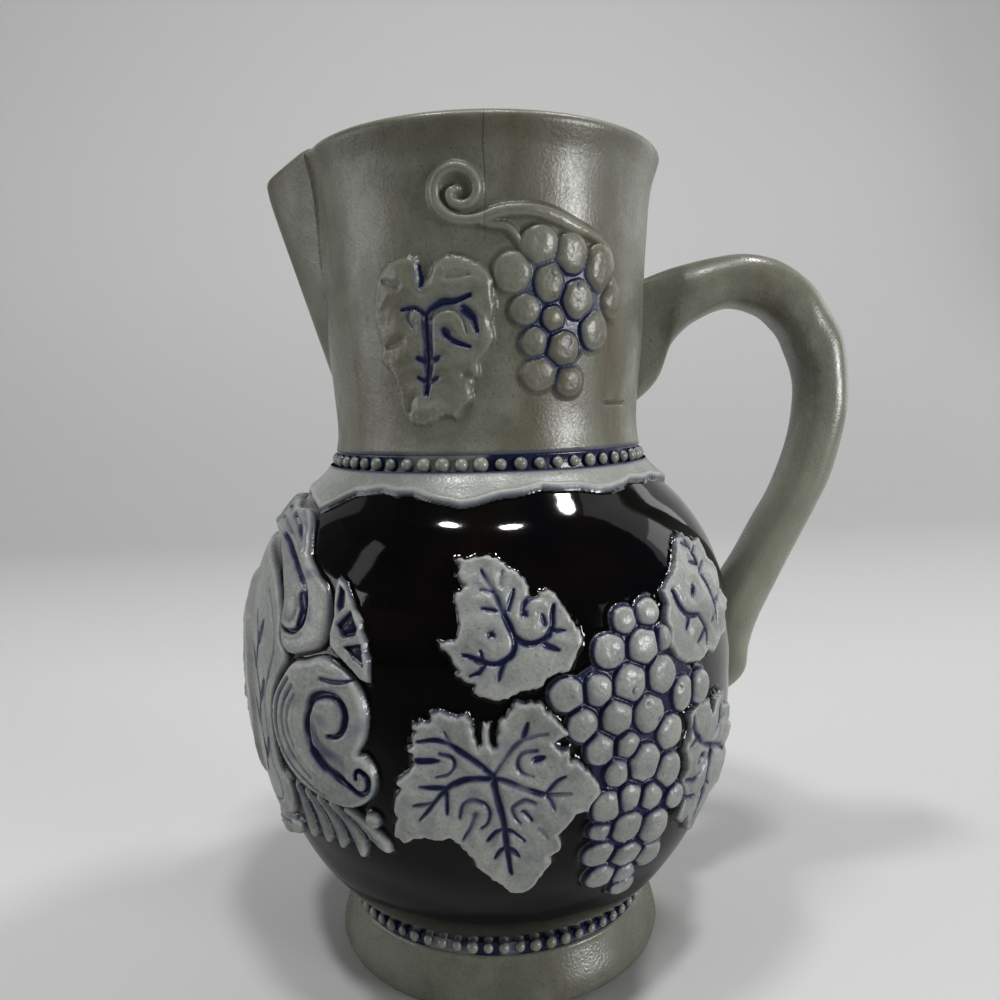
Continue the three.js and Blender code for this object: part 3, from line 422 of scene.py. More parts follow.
# Raised work: leaves, grapes and scrolls pressed in moulds and laid on the wall as wet clay. They are
# left in the grey glaze, with cobalt run into their veins and gaps and dark glaze crept up their edges.
relief_glaze = glaze("relief_glaze", light=(0.342, 0.357, 0.330), dark=(0.240, 0.252, 0.235),
                     stain=(0.13, 0.122, 0.10), rough=0.32, grain=1.2, stains=0.22, specks=0.45)
RELIEF_STEP, RELIEF_MARGIN, RELIEF_LAP = 0.27, 2.6, 2.2
arc_z = np.linspace(0, RIM_TOP, 4000)
arc_up = np.concatenate([[0], np.cumsum(np.hypot(np.diff(arc_z), np.diff(wall(arc_z)[0])))])


def flat(places, middle):
    """(degrees, height) places laid out flat round a middle angle: millimetres along and up the wall."""
    places = np.asarray(places, float)
    r = wall(places[:, 1])[0]
    return np.stack([np.radians(places[:, 0] - middle) * r, np.interp(places[:, 1], arc_z, arc_up)], -1)


def nearest(spots, run, closed=False):
    """Distance of each spot from a run of points, and how far along the run the nearest place is."""
    run = np.asarray(run, float)
    ends = np.roll(run, -1, 0) if closed else run[1:]
    starts = run if closed else run[:-1]
    best = np.full(len(spots), 1e9)
    share = np.zeros(len(spots))
    for k, (p, q) in enumerate(zip(starts, ends)):
        d = q - p
        t = np.clip(((spots - p) @ d) / max(d @ d, 1e-12), 0, 1)
        gap = np.hypot(*(spots - p - t[:, None] * d).T)
        closer = gap < best
        best[closer] = gap[closer]
        share[closer] = (k + t[closer]) / len(starts)
    return best, share


def inside(spots, outline):
    """Signed distance from an outline: positive inside it, negative outside."""
    x, y = spots.T
    odd = np.zeros(len(spots), bool)
    for p, q in zip(outline, np.roll(outline, -1, 0)):
        crosses = (p[1] > y) != (q[1] > y)
        with np.errstate(divide="ignore", invalid="ignore"):
            odd ^= crosses & (x < (q[0] - p[0]) * (y - p[1]) / (q[1] - p[1]) + p[0])
    gap = nearest(spots, outline, True)[0]
    return np.where(odd, gap, -gap)


def grain(spots, size, seed):
    """Smooth random swelling between -1 and 1."""
    rng = np.random.default_rng(seed)
    total = np.zeros(len(spots))
    for _ in range(7):
        angle, phase = rng.uniform(0, 2 * math.pi, 2)
        pitch = size * rng.uniform(0.7, 1.5)
        total += np.sin((spots @ [math.cos(angle), math.sin(angle)]) * 2 * math.pi / pitch + phase)
    return total / 4


def curve_between(p0, p1, p2, p3, t):
    """Places on a rounded line from p1 to p2, which comes from p0 and goes on to p3."""
    return 0.5 * (2 * p1 + (p2 - p0) * t + (2 * p0 - 5 * p1 + 4 * p2 - p3) * t**2
                  + (3 * p1 - p0 - 3 * p2 + p3) * t**3)


def smooth_run(run, steps=5):
    """A rounded line through the points of a run."""
    run = np.asarray(run, float)
    if len(run) < 3:
        return run
    ends = np.vstack([2 * run[0] - run[1], run, 2 * run[-1] - run[-2]])
    t = np.linspace(0, 1, steps, endpoint=False)[:, None]
    return np.vstack([curve_between(*ends[i - 1:i + 3], t) for i in range(1, len(ends) - 2)] + [run[-1:]])


def smooth_loop(run, steps=4):
    """A rounded closed line through the points of an outline."""
    t = np.linspace(0, 1, steps, endpoint=False)[:, None]
    return curve_between(*(np.roll(run, k, 0)[:, None] for k in (1, 0, -1, -2)), t).reshape(-1, 2)


def press(spots, middle, shape):
    """Height of a moulded shape over the wall, with its cobalt and the signed distance of its edge.
    A shape gives its outline, its rise and the roll of its edge. It may be round (a curved outline),
    and have a wobble of its outline, veins [(run, width, depth, blue)], a quilt (hollows along the
    veins), a crimp (folds along its edge), swells [(outline, rise, roll)], pits [(outline, depth, blue)]
    and domes [(degrees, height, half width, half height, rise)]."""
    outline = flat(shape["outline"], middle)
    edge = inside(spots, smooth_loop(outline) if shape.get("round") else outline)
    edge = edge + shape.get("wobble", 0.0) * grain(spots, 1.7, 17)
    t = np.clip(edge / shape["roll"], 0, 1)
    height = shape["rise"] * np.sqrt(1 - (1 - t) ** 2)
    blue = np.zeros(len(spots))
    for other, rise, roll in shape.get("swells", []):
        d = np.clip(inside(spots, flat(other, middle)) / roll, 0, 1)
        height = height + rise * d * d * (3 - 2 * d)
    groove, lips, valley = np.zeros((3, len(spots)))
    for run, width, depth, colour in shape.get("veins", []):
        d, along = nearest(spots, smooth_run(flat(run, middle)))
        w = width * np.interp(along, [0, 0.1, 0.7, 1], [0.85, 1, 0.9, 0.5])
        groove = np.maximum(groove, depth * np.exp(-(d / w) ** 2))
        lips = np.maximum(lips, depth * np.exp(-((d - 2.0 * w) / w) ** 2))
        valley = np.maximum(valley, np.exp(-(d / 1.9) ** 2))
        filled = 0.95 * np.exp(-(d / (w * 1.3)) ** 2.4) + 0.28 * np.exp(-(d / 1.7) ** 2)
        blue = np.maximum(blue, colour * filled)
    height = height - groove + 0.14 * lips - shape.get("quilt", 0.0) * (valley - 0.5)
    if "crimp" in shape:
        around = nearest(spots, outline, True)[1] * len(outline)
        folds = 0.55 + 0.45 * np.sin(around * 2.6 + 0.8 * np.sin(around * 0.7))
        height = height + shape["crimp"] * folds * np.exp(-((edge - 1.1) / 0.75) ** 2)
    blue = blue * (0.86 + 0.22 * grain(spots, 6, 5))
    for other, depth, colour in shape.get("pits", []):
        d = inside(spots, flat(other, middle))
        height = height - depth * np.clip(d / 0.45 + 0.5, 0, 1)
        blue = np.maximum(blue, colour * np.clip(d / 0.4 + 0.8, 0, 1))
    for deg, z, wide, tall, rise in shape.get("domes", []):
        q = np.hypot(*((spots - flat([(deg, z)], middle)[0]) / [wide, tall]).T)
        height = height + rise * np.sqrt(np.clip(1 - q**2, 0, 1))
        blue = blue * np.clip((q - 0.72) / 0.3, 0, 1)
    return height, blue, edge


def lay(name, middle, shapes, replaces, slot="relief_glaze", ground="dark", mirrored=None, seed=1,
        rough=0.05, creep=0.5, edge_blue=0.75, wash=0.27, step=RELIEF_STEP):
    """Lays moulded shapes on the wall as one piece, and its mirror image as another. rough is the
    unevenness of its skin, creep the height at which the glaze of the wall meets it, edge_blue the
    cobalt along its edge, and wash the thin cobalt over its face."""
    runs = np.vstack([flat(s["outline"], middle) for s in shapes])
    low, high = runs.min(0) - RELIEF_MARGIN, runs.max(0) + RELIEF_MARGIN
    gx, gy = np.meshgrid(np.arange(low[0], high[0], step), np.arange(low[1], high[1], step))
    spots = np.stack([gx.ravel(), gy.ravel()], -1)
    height = np.full(len(spots), -9.0)
    blue = np.zeros(len(spots))
    edge = np.full(len(spots), -99.0)
    for shape in shapes:
        h, b, e = shape.get("press", press)(spots, middle, shape)
        top = (e > 0) & (h > height)
        height = np.where(top, h, height)
        blue = np.where(top, b, blue)
        edge = np.maximum(edge, e)
    out = np.clip(edge, None, 0)
    meniscus = (creep * np.exp(out / 0.7) - 0.16 * (1 - np.exp(out / 1.0))
                - 0.5 * np.clip((-out - 1.7) / 0.6, 0, 1))
    body = np.maximum(height, 0) * np.clip(1 - creep / 3, 0, 1) + creep
    body = body + rough * grain(spots, 2.6, seed) + 0.5 * rough * grain(spots, 1.1, seed + 1)
    lift = np.where(edge > 0, np.maximum(body, creep * 0.8), meniscus)
    uneven = 0.5 + 0.5 * grain(spots, 14, seed + 2)
    rim = np.exp(-(np.abs(edge + 0.12) / 0.42) ** 2) * edge_blue * np.clip(uneven + 0.25, 0, 1)
    blue = np.clip(np.maximum(blue, np.where(edge > -1.2, rim, 0)), 0, 1)
    z = np.interp(spots[:, 1], arc_up, arc_z)
    deg = middle + np.degrees(spots[:, 0] / wall(z)[0])
    points = on_wall(deg, z, lift)
    kept = (edge > -RELIEF_LAP).reshape(gx.shape)
    cell = kept[:-1, :-1] & kept[1:, :-1] & kept[:-1, 1:] & kept[1:, 1:]
    used, faces = np.unique(lattice(*gx.shape)[cell.ravel()], return_inverse=True)
    faces = faces.reshape(-1, 4)
    if ground == "dark":
        lap = 0.10 * grain(spots, 5, seed + 3)
        dark = np.clip(0.45 - (edge - lap) / 0.34, 0, 1)
        washed = np.maximum(blue, wash * np.clip(grain(spots, 8, seed + 5), 0, 1))
        # Painted highlight, partly wear: a paler band is painted on the rounded shoulder just inside each
        # edge.
        wear_and_painted_light = 0.35 * np.exp(-((edge - 0.75) / 0.45) ** 2) * (blue < 0.2)
        marks = {"cobalt": washed * (1 - dark * 0.6), "dark": dark, "wear_and_painted_light": wear_and_painted_light}
    else:
        # Painted shade: a darker, browner band is painted round the foot of each shape, where it meets the
        # neck.
        dirt_and_painted_shade = 0.75 * np.exp(-((edge + 0.1) / 0.8) ** 2) * np.clip(uneven + 0.3, 0, 1)
        # Painted highlight, partly wear: the high tops of each shape and the rounded shoulder of its edge
        # are painted paler.
        wear_and_painted_light = (0.16 * np.clip((height - 0.5) / 1.2, 0, 1) * (edge > 0.5)
                + 0.35 * np.exp(-((edge - 0.7) / 0.4) ** 2) * (blue < 0.2))
        marks = {"cobalt": blue, "dirt_and_painted_shade": dirt_and_painted_shade, "wear_and_painted_light": wear_and_painted_light}
    marks = {key: values[used] for key, values in marks.items()}
    material = neck_glaze if slot == "grey_glaze" else relief_glaze
    piece(name, points[used], faces, material, [replaces], marks)
    if mirrored:
        piece(mirrored[0], points[used] * [1, -1, 1], faces[:, ::-1], material, [mirrored[1]], marks)


def pair(name, middle, shapes, **more):
    """Lays shapes on the photographed side and their mirror image on the far side."""
    lay(name + "_near_side", middle, shapes, name + "_near", mirrored=(name + "_far_side", name + "_far"),
        **more)


# Shoulder skirt: grey glaze that was poured round the foot of the neck and left with a scalloped
# lower edge over the dark belly.
SKIRT_TOP, SKIRT_LOWEST, SKIRT_LAP = 128.6, 115.5, 2.4
SKIRT_EDGE = np.array([  # degrees from the spout, height of the edge
    [0, 122.5], [20, 121.5], [34, 119.6], [45, 123.6], [55, 124.6], [66, 123.8], [80, 121.6], [92, 123.2],
    [103, 124.6], [115, 123.8], [125, 123.2], [136, 124.4], [150, 124.4], [165, 122.8], [180, 122]])
skirt_deg = np.linspace(-180, 180, 720, endpoint=False)
skirt_z = np.linspace(SKIRT_LOWEST, SKIRT_TOP, 52)
gd, gz = np.meshgrid(skirt_deg, skirt_z)
low_edge = (np.interp(np.abs(gd), *SKIRT_EDGE.T)
            + 0.22 * np.sin(np.radians(gd * 23)) * np.sin(np.radians(gd * 7)))
gap = np.interp(gz, arc_z, arc_up) - np.interp(low_edge, arc_z, arc_up)
below = np.clip(gap, None, 0)
shoulder = (0.35 + 0.85 * np.sqrt(1 - (1 - np.clip(gap / 1.2, 0, 1)) ** 2)
            + 0.10 * np.sin(np.radians(gd * 5)) + 0.28 * np.exp(-((gap - 1.0) / 0.55) ** 2))
creeping = (0.35 * np.exp(below / 0.6) - 0.2 * (1 - np.exp(below / 1.0))
            - 0.4 * np.clip((-gap - 1.7) / 0.6, 0, 1))
skirt_points = on_wall(gd, gz, np.where(gap > 0, shoulder, creeping)).reshape(-1, 3)
skirt_kept = gap > -SKIRT_LAP
skirt_cells = skirt_kept[:-1] & skirt_kept[1:]
skirt_cells = skirt_cells & np.roll(skirt_cells, -1, 1)
skirt_faces = lattice(len(skirt_z), len(skirt_deg), False, True)[skirt_cells.ravel()]
skirt_used, skirt_faces = np.unique(skirt_faces, return_inverse=True)
# Painted highlight: the raised ridge just above the scalloped edge is painted paler.
skirt_marks = {"dark": np.clip(0.5 - gap / 0.35, 0, 1),
               "cobalt": (0.45 * np.exp(-((gap - 0.1) / 0.5) ** 2)
                          + 0.7 * np.exp(-((SKIRT_TOP - gz) / 0.8) ** 2)),
               "wear_and_painted_light": 0.6 * np.exp(-((gap - 1.0) / 0.5) ** 2)}
piece("shoulder_skirt_glaze", skirt_points[skirt_used], skirt_faces.reshape(-1, 4), relief_glaze,
      ["shoulder_skirt"],
      {key: values.ravel()[skirt_used] for key, values in skirt_marks.items()})

# Neck: a nearly straight thrown wall with a rounded lip, drawn out on one side into a pinched spout.
# It is one skin of clay inside and out, with a short engraved fill line near the handle.
SPOUT_FOOT, SPOUT_TIP, SPOUT_HALF = 147.0, 55.4, 17.0
LIP_FROM, LIP_THICK, LIP_TOP = 203.2, 4.3, 203.4
SPOUT_DIP, DIP_FROM, DIP_OVER = 3.2, 170, 33
FILL_LINE_Z, FILL_LINE_FROM, FILL_LINE_TO = 143.3, 131.0, 145.0


def neck_radius(deg, z):
    """Outer radius of the neck with the fold of the spout in it and a dent pushed in beside the fold."""
    deg, z = np.broadcast_arrays(np.asarray(deg, float), np.asarray(z, float))
    r = wall(z)[0] + wave(deg, z)
    share = np.clip((z - SPOUT_FOOT) / (RIM_TOP - SPOUT_FOOT), 0, 1)
    half = SPOUT_HALF * share + 1e-3
    foot = wall(SPOUT_FOOT)[0]
    forward = 1 - np.log1p(np.exp((1 - 1.11 * share) * 25)) / 25
    nose = foot - 0.6 + (SPOUT_TIP - foot + 0.6) * np.clip(forward, 0, 1)
    along = np.sqrt(np.maximum(r**2 - half**2, 1)) - 0.5
    turn = np.abs(np.radians(deg))
    joint = np.arcsin(half / r)
    bend = np.sqrt(np.sin(np.minimum(turn, 1.5)) ** 2 + 0.05**2) - 0.05
    fold = nose * half / (half * np.cos(np.minimum(turn, 1.5)) + np.maximum(nose - along, 0.05) * bend)
    fold = np.where(turn < joint + 0.03, fold, 0)
    r = r - 0.3 * share * np.exp(-((turn - joint - 0.07) / 0.10) ** 2)
    softness = 0.7
    mix = np.clip(0.5 + 0.5 * (fold - r) / softness, 0, 1)
    r = r * (1 - mix) + fold * mix + softness * mix * (1 - mix) * 0.5
    line = np.exp(-((z - FILL_LINE_Z) / 0.42) ** 2) * (deg > FILL_LINE_FROM) * (deg < FILL_LINE_TO)
    return r - 0.5 * line


neck_deg = np.concatenate([np.arange(-180, -34, 1.0), np.arange(-34, 34, 0.4), np.arange(34, 126, 1.0),
                           np.arange(126, 150, 0.5), np.arange(150, 180, 1.0)])
neck_z = np.concatenate([np.linspace(NECK_FROM, 142, 9), np.linspace(142.4, 144.3, 14),
                         np.linspace(145.2, 196, 46), np.linspace(197, LIP_FROM, 9)])
dip = SPOUT_DIP * np.clip(1 - np.abs(neck_deg) / 21, 0, 1) ** 1.3
neck_rows, wear_and_painted_light, brushed = [], [], []


def dipped(z):
    """Heights of a ring of the neck, which dips a little towards the tip of the spout."""
    return z - dip * np.clip((z - DIP_FROM) / DIP_OVER, 0, 1)


for z in neck_z:
    neck_rows.append((neck_radius(neck_deg, dipped(z)), dipped(z)))
    wear_and_painted_light.append(0.0)
    brushed.append(0.55 * math.exp(-((z - NECK_FROM) / 0.7) ** 2))
lip_r = neck_radius(neck_deg, LIP_FROM - dip)
# Painted highlight, partly wear: the top of the rounded lip is painted paler.
for t in np.linspace(0.12, 0.94, 11) * math.pi:
    neck_rows.append((lip_r - LIP_THICK / 2 + LIP_THICK / 2 * np.cos(t), LIP_FROM - dip + 1.8 * np.sin(t)))
    wear_and_painted_light.append(math.sin(t) ** 3)
    brushed.append(0.0)
for z in np.linspace(202.6, NECK_FROM, 40):
    thick = np.interp(z, [132, 140, 196, 203], [4.6, 4.6, WALL_THICK, LIP_THICK])
    neck_rows.append((neck_radius(neck_deg, dipped(z)) - thick, dipped(z)))
    wear_and_painted_light.append(0.0)
    brushed.append(0.0)
neck_a = np.radians(neck_deg)
neck_points = np.stack([np.stack([-r * np.cos(neck_a), -r * np.sin(neck_a), z], -1) for r, z in neck_rows])
up_neck = neck_points[..., 2]
below_lip = up_neck < LIP_TOP
# Painted shade: a darker band is painted just under the overhanging lip.
under_rim = np.clip(1 - np.abs(up_neck - 201.5) / 6.5, 0, 1) * below_lip
# Painted shade: the engraved fill line is painted darker in its groove.
fill_line = (np.exp(-((up_neck - FILL_LINE_Z) / 0.4) ** 2)
             * (neck_deg > FILL_LINE_FROM) * (neck_deg < FILL_LINE_TO))
cloudy = grain(np.stack([neck_deg * 0.72 + 0 * up_neck, up_neck * 0.4], -1).reshape(-1, 2), 17, 91)
# Towards the rim the neck is painted darker and browner in clouds: partly brown staining, partly painted
# shade.
stain_and_shade_near_rim = (np.clip((up_neck - 166) / 34, 0, 1) * below_lip
         * np.clip(0.30 + 0.30 * cloudy.reshape(up_neck.shape), 0, 1))
neck_marks = {"wear_and_painted_light": np.repeat(wear_and_painted_light, len(neck_deg)), "cobalt": np.repeat(brushed, len(neck_deg)),
              "dirt_and_painted_shade": np.maximum(np.maximum(under_rim * 0.7, stain_and_shade_near_rim), fill_line).ravel()}
neck_glaze = glaze("neck_glaze", light=(0.205, 0.212, 0.168), dark=(0.126, 0.128, 0.096),
                   stain=(0.104, 0.084, 0.053), rough=0.32, grain=1.0, stains=1.0, specks=0.6,
                   hairline=0.0011)
piece("neck_and_spout", neck_points.reshape(-1, 3), lattice(len(neck_rows), len(neck_deg), True, True),
      neck_glaze, ["neck_wall", "rim_lip", "spout_fold"], neck_marks)

# Handle: a pulled strap of clay, round outside and flatter towards the fingers. It grows out of the
# neck with a fin below it and is pressed onto the belly with a blunt end.
STRAP_OUTER = [  # distance from the pot's axis, height
    [38, 173.5], [46.6, 177.2], [53, 179], [61, 181], [69.8, 181.6], [78.4, 179.7], [87, 173.8],
    [92.4, 166.8], [96.6, 158.6], [97.9, 148], [97.2, 136], [93.9, 123], [89.6, 113.2], [83.8, 102.8],
    [78.4, 92.2], [74.2, 84], [71.4, 75], [69.4, 66], [60, 58.4]]
STRAP_INNER = [
    [38, 141.6], [45.4, 148], [48.6, 157.2], [55.4, 163.8], [65, 167.6], [73.6, 165.4], [79, 161],
    [81.6, 156.6], [83.8, 151.4], [84.8, 144.6], [84.0, 136.4], [81.6, 126.6], [78.4, 118.6], [73.6, 110.2],
    [68.6, 101.6], [64.6, 94.6], [61, 88], [59, 80], [58, 60]]
STRAP_HALF = [
    4.2, 6.4, 8.2, 8.4, 8.2, 8.2, 8.2, 8.2, 8.2, 8.2, 8.2, 8.2, 8.2, 8.2, 8.4, 8.8, 8.8, 8.2, 4]
STRAP_SIDES = 40
out_run = smooth_run(STRAP_OUTER, 7)
in_run = smooth_run(STRAP_INNER, 7)
half_run = smooth_run(np.stack([STRAP_HALF, STRAP_HALF], -1), 7)[:, 0]
section = np.linspace(0, 2 * math.pi, STRAP_SIDES, endpoint=False)
outwards = np.cos(section)
outwards = np.where(outwards < 0, -np.abs(outwards) ** 0.62, outwards)
sideways = np.sign(np.sin(section)) * np.abs(np.sin(section)) ** 0.86
middle_line = (out_run + in_run) / 2
reach = (out_run - in_run) / 2
run_share = np.linspace(0, 1, len(out_run))[:, None]
hand_made = 1 + 0.014 * np.sin(run_share * 27 + section) + 0.010 * np.sin(run_share * 63 + 2 * section + 1)
strap_points = np.stack([middle_line[:, :1] + reach[:, :1] * outwards * hand_made,
                         half_run[:, None] * sideways * hand_made,
                         middle_line[:, 1:] + reach[:, 1:] * outwards * hand_made], -1)
handle_points = np.vstack([strap_points.reshape(-1, 3), strap_points[0].mean(0), strap_points[-1].mean(0)])
cap = len(out_run) * STRAP_SIDES
last_ring = cap - STRAP_SIDES
sides = range(STRAP_SIDES)
handle_faces = lattice(len(out_run), STRAP_SIDES, False, True).tolist()
handle_faces += [[k, (k + 1) % STRAP_SIDES, cap] for k in sides]
handle_faces += [[last_ring + (k + 1) % STRAP_SIDES, last_ring + k, cap + 1] for k in sides]
handle_z = handle_points[:, 2]
faces_out = np.append(np.tile(outwards, len(out_run)), [0, 0])
# Painted light: the strap is painted paler towards its lower end. Its outer face is also painted darker and
# browner around the middle of its height.
handle_marks = {"wear_and_painted_light": 0.5 * np.clip((150 - handle_z) / 40, 0, 1),
                "dirt_and_painted_shade": 0.42 * np.clip(faces_out, 0, 1) * np.exp(-((handle_z - 150) / 32) ** 2)}
handle = piece("pulled_handle", handle_points, handle_faces, stone_glaze, ["handle_strap"],
               handle_marks)
face_outwards(handle)

# Belly leaves: four vine leaves round the bunch on each side, flat faced, with toothed edges and
# veins that are full of cobalt.
FINE, BOLD = 0.5, 0.64


def belly_leaf(name, middle, seed, outline, veins):
    shape = dict(rise=1.35, roll=0.9, quilt=0.75, crimp=0.2, wobble=0.2, outline=outline, veins=veins)
    pair(name, middle, [shape], seed=seed)


belly_leaf("leaf_lower_front", 87.3, seed=3, outline=[
    (84.3, 74.5), (83.7, 78), (83.3, 80.5), (82.3, 82), (81, 81.4), (79.5, 81.6), (78.3, 82.3),
    (76.6, 82.4), (76, 81.7), (76, 80.2), (74.2, 80), (72.6, 79.3), (72.5, 78.4), (73, 77.8), (72.2, 76.4),
    (71.9, 75.6), (72.3, 74.9), (71.1, 73.9), (72.1, 73), (71.9, 72), (72.2, 71), (71.2, 69), (68.6, 66.4),
    (69.6, 65.3), (68.4, 63.5), (67.7, 60.3), (68.4, 58.7), (67.6, 57), (67.2, 54.2), (69.5, 52.6),
    (71.4, 53.9), (73.5, 54.6), (76.5, 54.2), (78.4, 55), (79.8, 53.5), (81.5, 51.7), (82.6, 50), (83, 48),
    (84.8, 46.2), (86, 44.6), (87.5, 43.3), (88.6, 42), (89.5, 40.8), (92, 40.2), (93.8, 41), (95.4, 42.8),
    (95.9, 44.3), (97.3, 46.2), (98.4, 47.8), (97.6, 49.6), (99.4, 50.2), (100, 51.7), (99.9, 53.2),
    (99.2, 54.4), (100.2, 55.7), (101.5, 57), (102.7, 58.8), (104.3, 59), (105, 58.3), (105.8, 60.6),
    (107.5, 62.5), (107.4, 64.2), (106.1, 66.6), (104.4, 68.6), (103, 70.6), (101.3, 70.8), (101.3, 73.5),
    (99.5, 73.3), (98.3, 75), (100, 76.2), (101.6, 76.4), (98.5, 80.3), (97, 82), (96.2, 83.8),
    (92.4, 83.9), (91.2, 84.3), (90.6, 82.7), (89.2, 80.9), (88.4, 80.2), (88, 77.5), (87.9, 74.9),
    (87.2, 74.6), (86.5, 75.6), (86.6, 79.8), (85.5, 79.9), (85.1, 75.9)], veins=[
    ([(87, 68.5), (87.6, 64.5), (88.5, 60), (88.9, 56.5), (89.3, 52), (90, 45.8)], BOLD, 0.75, 0.9),
    ([(88.9, 57.2), (87.2, 56.5), (85.6, 54.5)], FINE, 0.5, 0.8),
    ([(88.9, 57.2), (90.3, 56.4), (92.6, 54)], FINE, 0.5, 0.8),
    ([(89.2, 52.8), (88, 52), (86.9, 50)], FINE, 0.5, 0.8),
    ([(89.2, 52.8), (90.3, 52), (91.6, 50.2)], FINE, 0.5, 0.8),
    ([(87, 68.5), (89.6, 67.6), (93.5, 65.5), (96.5, 64.2), (101.4, 63.6)], BOLD, 0.65, 0.6),
    ([(96.6, 64.2), (97.6, 62.5), (98.3, 60.5)], FINE, 0.5, 0.7),
    ([(97, 64.7), (98.7, 66.8), (100.4, 67.6)], FINE, 0.5, 0.6),
    ([(87.4, 69.5), (89, 72.3), (91, 75), (93.3, 76.5), (97, 77.1)], BOLD, 0.65, 0.45),
    ([(92.7, 77), (93.5, 79.7)], FINE, 0.5, 0.8),
    ([(87, 69), (84.3, 71.7), (81.2, 74.2), (79.2, 75.6), (76.5, 76.4), (73.2, 75.8)], BOLD, 0.65, 0.75),
    ([(79.3, 75.9), (78.3, 78.2)], FINE, 0.5, 0.6),
    ([(86.5, 68.4), (82.5, 68.3), (80, 67.3), (78.3, 65.8), (76.2, 63), (74.4, 60.5),
      (73, 58.8)], BOLD, 0.65, 0.75), ([(78.3, 66.3), (73.2, 66)], FINE, 0.5, 0.75),
    ([(78.4, 65.3), (78.3, 60.5)], FINE, 0.5, 0.75), ([(76, 62.8), (71.8, 61.7)], FINE, 0.5, 0.6),
    ([(80.6, 59.8), (81.2, 62.5), (82.9, 63.8), (85.2, 63), (86.2, 61), (85.7, 58.5),
      (84.5, 57.5)], FINE, 0.55, 0.55), ([(83.3, 60), (82.3, 57.2), (81, 54.8)], FINE, 0.55, 0.55),
    ([(83.5, 60.6), (83.2, 60)], 0.75, 0.55, 0.6),
    ([(94.5, 62.5), (92.6, 63.3), (91.2, 62.6), (90.3, 61.5), (90.9, 59.5),
      (91.8, 58.3)], FINE, 0.55, 0.55), ([(92.4, 60.8), (93.9, 58.8)], 0.6, 0.55, 0.75),
    ([(95, 73.8), (92.5, 73.6), (91.5, 71.8), (92, 69.6), (94.3, 68.4)], FINE, 0.55, 0.6),
    ([(94.7, 72), (96.3, 72.3)], 0.65, 0.6, 0.8),
    ([(77.4, 73.5), (79.5, 72.9), (80.1, 71.2), (79, 69.3), (76.5, 68.5)], FINE, 0.55, 0.6),
    ([(73, 71.8), (77.2, 72)], 0.6, 0.6, 0.85), ([(95.2, 56.5), (97, 54)], FINE, 0.4, 0.3)])
belly_leaf("leaf_upper_front", 91, seed=9, outline=[
    (79.7, 111.9), (81.3, 110.7), (80.6, 109), (81.2, 108), (82.5, 106.8), (80.6, 105.4), (80.4, 104),
    (81.2, 101.9), (81.6, 99.5), (81.1, 97.2), (80.3, 96.6), (77.5, 96.3), (77.9, 95.2), (79.7, 93.5),
    (80.3, 92), (81.4, 90.6), (80.9, 89.7), (82.1, 88.6), (84.3, 87.7), (83.9, 86), (85.5, 85.3),
    (88.3, 84.4), (89.8, 84.9), (91, 85.3), (92.4, 86.3), (94.2, 86.3), (96.5, 87), (97.4, 88.6),
    (99.5, 89.4), (101.4, 89.3), (102.2, 90.5), (103.2, 92.7), (104.2, 94), (104.5, 96), (103.8, 98),
    (102.8, 99.5), (102, 101), (101.1, 102.7), (100, 104.8), (98.5, 105.6), (97, 105.2), (96.6, 104.2),
    (95, 104.6), (94.8, 106.3), (94.2, 107.5), (93, 109.2), (91.5, 109.8), (90.3, 110.8), (88.5, 112),
    (86.7, 112.3), (84.5, 112.2), (83, 111.7), (81.5, 111.9)], veins=[
    ([(89.7, 101.5), (88.6, 104.5), (87.2, 107), (85.6, 109.6)], BOLD, 0.7, 0.55),
    ([(88, 105.6), (85.4, 106)], 0.5, 0.5, 0.75), ([(88.3, 102), (85.6, 102.6)], 0.5, 0.5, 0.7),
    ([(90.5, 102), (91.9, 105.8)], 0.55, 0.6, 0.85), ([(89.2, 106.8), (89.8, 109.2)], 0.7, 0.6, 0.25),
    ([(89.9, 101), (91, 98.5), (91.6, 96.3), (91.3, 94), (89.8, 92.6), (87.8, 91.9), (85.5, 92.4),
      (83.4, 93.4), (82, 93.8)], 0.6, 0.75, 0.95), ([(85.5, 92.4), (85.3, 94.5)], FINE, 0.5, 0.8),
    ([(86.1, 91.8), (85, 90.3), (83.3, 89.7)], 0.5, 0.5, 0.85),
    ([(89.5, 92), (88.9, 90.5), (88.5, 88.8)], 0.5, 0.5, 0.85),
    ([(91.8, 97), (93, 95.9), (95, 95.5), (97.5, 96.5), (98.7, 98.5), (99, 100.5),
      (99.4, 102.5)], 0.6, 0.75, 0.95), ([(98.4, 97.8), (101.2, 97.6)], 0.5, 0.5, 0.85),
    ([(97.2, 95.1), (99.8, 93.9)], 0.55, 0.5, 0.85), ([(97.5, 99), (97, 100.9)], 0.5, 0.5, 0.85),
    ([(93.4, 101.4), (93.6, 102.7), (94.6, 103.9), (96.5, 104.7)], 0.55, 0.7, 0.9),
    ([(93.6, 101.3), (93.9, 101.0)], 0.85, 0.6, 0.9), ([(87.2, 97.6), (87.7, 97.4)], 0.85, 0.6, 0.9)])
